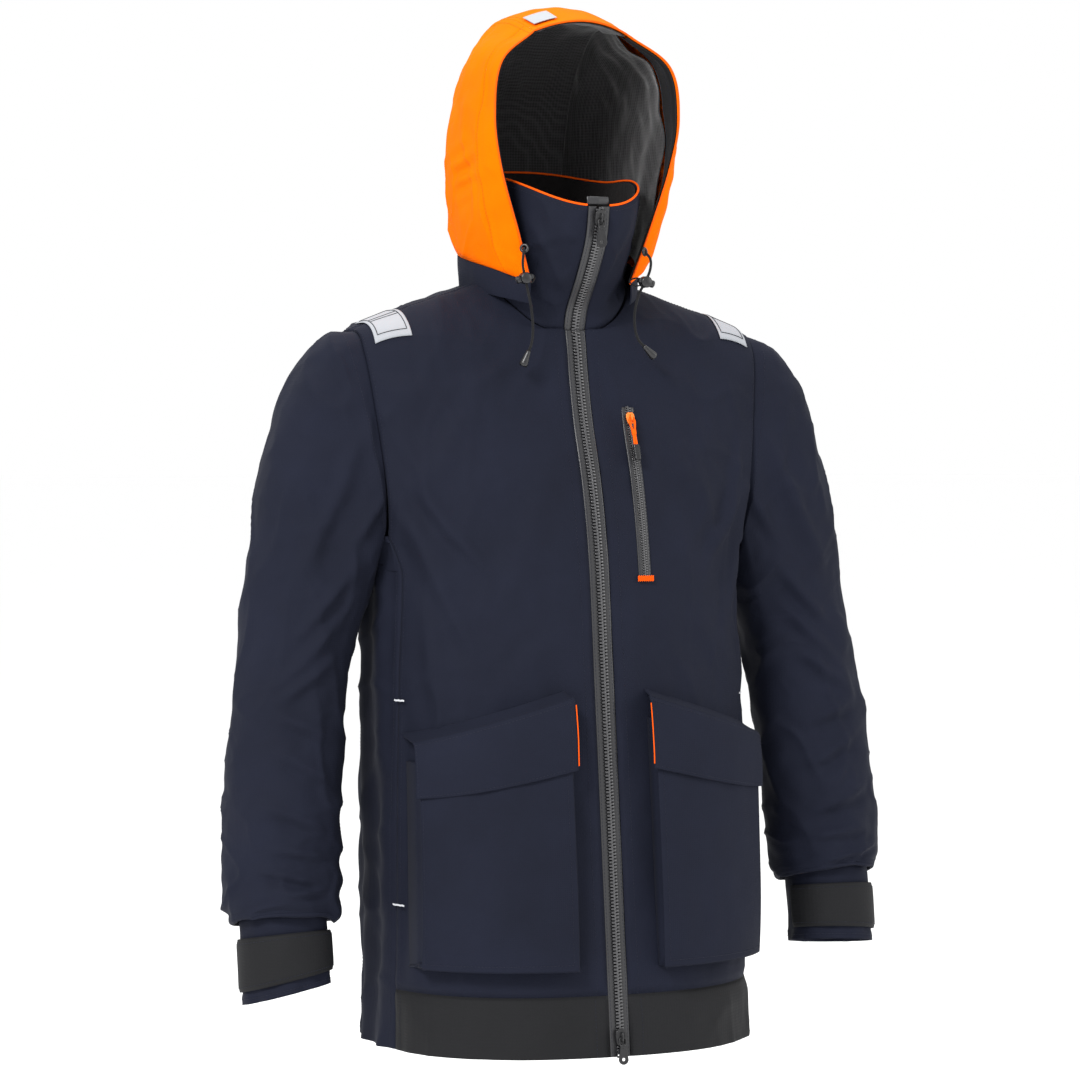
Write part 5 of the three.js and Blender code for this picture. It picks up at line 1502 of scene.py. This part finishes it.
def build_reflectors():
    for name, side in SIDES:
        def on_patch(a, b, out):
            a, b = np.broadcast_arrays(a, b)
            front = PATCH["front"] + PATCH["skew"] * a
            x = side * (PATCH["inner"] + (PATCH["outer"] - PATCH["inner"]) * a)
            y = front + (PATCH["back"] - front) * b
            here = on_shoulder(x, y)
            n = np.cross(on_shoulder(x + 2, y) - here, on_shoulder(x, y + 2) - here)
            n /= np.linalg.norm(n, axis=-1, keepdims=True)
            return here + n * (np.sign(n[..., 2]) * out)[..., None]

        u, v = np.meshgrid(np.linspace(0, 1, 30), np.linspace(0, 1, 40))
        plate = grid(f"shoulder_reflector_{name}", on_patch(u, v, 1.5))
        orient_from(plate, np.array([side * 150, 0, 600.0]))
        dress(thicken(plate, 0.6 * MM), silver)
        parts = [apply_all(plate)]
        k = np.linspace(0, 1, 30)
        edge = [on_patch(0.1 + 0.8 * k, 0.07, 1.7), on_patch(0.9, 0.07 + 0.86 * k, 1.7),
                on_patch(0.9 - 0.8 * k, 0.93, 1.7), on_patch(0.1, 0.93 - 0.86 * k, 1.7)]
        parts.append(
            apply_all(dress(tube(f"line_{name}", np.vstack(edge), 0.45, closed=True, resolution=1), ink))
        )
        for b in (0.42, 0.52):
            bar = on_patch(0.1 + 0.8 * k, b, 1.7)
            parts.append(apply_all(dress(tube(f"bar_{name}_{b}", bar, 0.4, resolution=1), ink)))
        place(join(parts, f"shoulder_reflector_{name}"), [f"shoulder_reflector_{name}"])
    u, v = np.meshgrid(np.linspace(0.05, 0.27, 24), np.linspace(0.028, 0.09, 16))
    plate = grid("hood_reflector", inset(hood_centre(u, v), -2.6))
    orient_from(plate, HEAD)
    place(finished_cloth(plate, silver, 0.6 * MM), ["hood_reflector"])


# ---- Drawcords ---------------------------------------------------------------------------------------------
CORD_ROUTES = {
    "right": [
        [
            -68, -100, 803
        ], [-72, -108, 796], [-73, -109, 785], [-70, -108, 772], [-66, -106, 758], [-61, -103, 740],
        [-59, -102, 720], [-60, -101, 706], [-63, -100, 697],
    ],
    "left": [
        [67, -100, 802], [70, -108, 794], [69, -110, 783], [64, -109, 770], [58, -107, 758], [54, -105, 740],
        [55, -103, 722], [60, -101, 710], [67, -100, 703],
    ],
}


def lathe(name, profile, n=40):
    """A turned piece about its own Z axis."""
    angle = np.linspace(0, 2 * math.pi, n, endpoint=False)
    verts = [(r * math.cos(a) * MM, r * math.sin(a) * MM, z * MM) for r, z in profile for a in angle]
    mesh = bpy.data.meshes.new(name)
    faces = grid_faces(len(profile), n, True)
    mesh.from_pydata(verts, [], faces)
    bm = bmesh.new()
    bm.from_mesh(mesh)
    bmesh.ops.remove_doubles(bm, verts=bm.verts, dist=1e-6)
    bmesh.ops.recalc_face_normals(bm, faces=bm.faces)
    bm.to_mesh(mesh)
    bm.free()
    mesh.shade_smooth()
    return new_object(name, mesh)


def build_drawcord(name, side):
    route = CORD_ROUTES[name]
    line = smooth_line(route, np.linspace(0, 1, 120))
    o = dress(tube(f"drawcord_{name}", line, 1.4, resolution=4), braid)
    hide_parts(f"drawcord_{name}")
    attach(o, "jacket")

    grommet = lathe(
        f"eyelet_{name}", [(2.4, -1), (2.4, 0.8), (3.0, 1.3), (4.2, 1.1), (5.1, 0.2), (5.1, -1), (2.4, -1)]
    )
    grommet.rotation_euler = (math.pi / 2 - 0.15, 0, side * 0.65)
    grommet.location = Vector(to_row([route[0][0], route[0][1] - 0.6, route[0][2]]))
    place(dress(grommet, plastic), [f"eyelet_{name}"])

    at = np.array(route[3], float)
    profile = [
        (0.0, -5.6), (4.6, -5.6), (5.7, -4.9), (6.0, -3.6), (5.5, -2.9), (5.5, 2.9), (6.0, 3.6), (5.7, 4.9),
        (4.6, 5.6), (0.0, 5.6)
    ]
    barrel = lathe(f"cord_lock_{name}", profile)
    barrel.data.transform(Matrix.Rotation(math.pi / 2, 4, "X"))
    waist = rounded_box(f"waist_{name}", (9.5, 7.5, 5), (-side * 3.6, 0, 0), 1.4)
    barrel = dress(join([barrel, waist], f"cord_lock_{name}"), plastic)
    barrel.location, barrel.rotation_euler = Vector(to_row(at)), (0, side * 0.25, 0)
    place(barrel, [f"cord_lock_{name}"])
    button = lathe(
        f"lock_plunger_{name}", [(0, 4.1), (3.9, 4.1), (3.9, 9.0), (3.3, 9.7), (1.6, 10.0), (0, 10.0)]
    )
    button.data.transform(Matrix.Rotation(side * math.pi / 2, 4, "Y"))
    button.location, button.rotation_euler = Vector(to_row(at)), (0, side * 0.25, 0)
    place(dress(button, plastic), [f"lock_plunger_{name}"], f"lock_plunger_{name}")

    # The anchor loop ties the lock to the collar's base.
    anchor = smooth_line(
        [
            at + [-side * 3, 0, 3], at + [-side * 9, 5, 4], at + [-side * 14, 9, 1], at + [-side * 10, 5, -4],
            at + [-side * 3, 0, -3]
        ],
        np.linspace(0, 1, 40),
    )
    tie = apply_all(dress(tube(f"anchor_loop_{name}", anchor, 0.8), braid))
    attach(tie, "jacket")

    last, before = line[-1], line[-8]
    bell = lathe(
        f"cord_end_{name}",
        [
            (0, 1), (2.2, 1), (2.5, -1), (3.2, -5), (4.5, -12.5), (4.6, -14.5), (3.9, -16), (2.4, -16.4),
            (0, -16.2)
        ]
    )
    direction = Vector(before - last).normalized()
    bell.rotation_euler = direction.to_track_quat("Z", "Y").to_euler()
    bell.location = Vector(to_row(last))
    place(dress(bell, plastic), [f"cord_end_{name}"])


def build_hang_loop():
    u, v = np.meshgrid(np.linspace(0, 1, 60), np.linspace(0, 1, 8))
    wall = float(ring(COLLAR, np.array(math.pi / 2), np.array(0.3), -9.8)[1])
    y = wall - 0.6 * np.abs(2 * u - 1) - 7.5 * np.sin(math.pi * u) ** 0.7 - 0.6
    p = np.stack([-30 + 60 * u, y, 802.4 + 7.2 * v + 0.5 * np.sin(u * 7)], -1)
    o = grid("hang_loop", p)
    place(apply_all(dress(thicken(o, 1.0 * MM, 0), navy)), ["hang_loop"])


# ---- Build -------------------------------------------------------------------------------------------------
build_body()
for side_name, side_sign in SIDES:
    build_sleeve(side_name, side_sign)
    build_cuff(side_name, side_sign)
    build_pocket(side_name, side_sign)
    build_flap(side_name, side_sign)
    build_drawcord(side_name, side_sign)
build_collar()
build_front_zip()
build_sliders()
build_chest_pocket()
build_hood()
build_reflectors()
build_hang_loop()

# ---- Stage, light and camera -------------------------------------------------------------------------------
FLOOR_Z = cad_bounds[0][2] - 0.2


def build_stage():
    bm = bmesh.new()
    bmesh.ops.create_grid(bm, x_segments=2, y_segments=2, size=80)
    mesh = bpy.data.meshes.new("floor")
    bm.to_mesh(mesh)
    bm.free()
    floor = new_object("floor", mesh)
    floor.location = (0, 0, FLOOR_Z)
    m, _, shader = nodes_for("pale_floor")
    shader.inputs["Base Color"].default_value = (1.0, 1.0, 1.0, 1)
    shader.inputs["Roughness"].default_value = 0.9
    dress(floor, m)


def area_light(name, location, target, size, power):
    data = bpy.data.lights.new(name, "AREA")
    data.energy = power
    data.size = size
    o = new_object(name, data)
    o.location = location
    o.rotation_euler = (Vector(target) - Vector(location)).to_track_quat("-Z", "Y").to_euler()
    return o


def build_light():
    world = bpy.data.worlds.new("studio")
    world.use_nodes = True
    world.node_tree.nodes["Background"].inputs["Color"].default_value = (1, 1, 1, 1)
    world.node_tree.nodes["Background"].inputs["Strength"].default_value = 1.0
    bpy.context.scene.world = world
    middle = (0, -0.06, -0.3)
    area_light("key", (-2.4, -2.0, 1.9), middle, 1.0, 110)
    area_light("fill", (2.6, -1.8, 0.6), middle, 1.8, 22)
    area_light("top", (0.2, 0.6, 2.4), middle, 1.6, 45)


SENSOR = 36.0  # width of Blender's own camera sensor, in mm
VIEW_WIDTH = 1.1448  # metres across the view at the jacket's middle


def build_camera():
    azimuth = math.radians(-22)
    elevation = math.radians(1.5)
    distance = 4.0
    target = Vector(to_row([-10, 0, 500]))
    back = Vector((
        math.sin(azimuth) * math.cos(
            elevation
        ), -math.cos(azimuth) * math.cos(elevation), math.sin(elevation),
    ))
    data = bpy.data.cameras.new("camera")
    data.lens = SENSOR * distance / VIEW_WIDTH
    camera = new_object("camera", data)
    camera.location = target + back * distance
    camera.rotation_euler = back.to_track_quat("Z", "Y").to_euler()
    bpy.context.scene.camera = camera


build_stage()
build_light()
build_camera()
bpy.context.scene.view_settings.view_transform = "Standard"
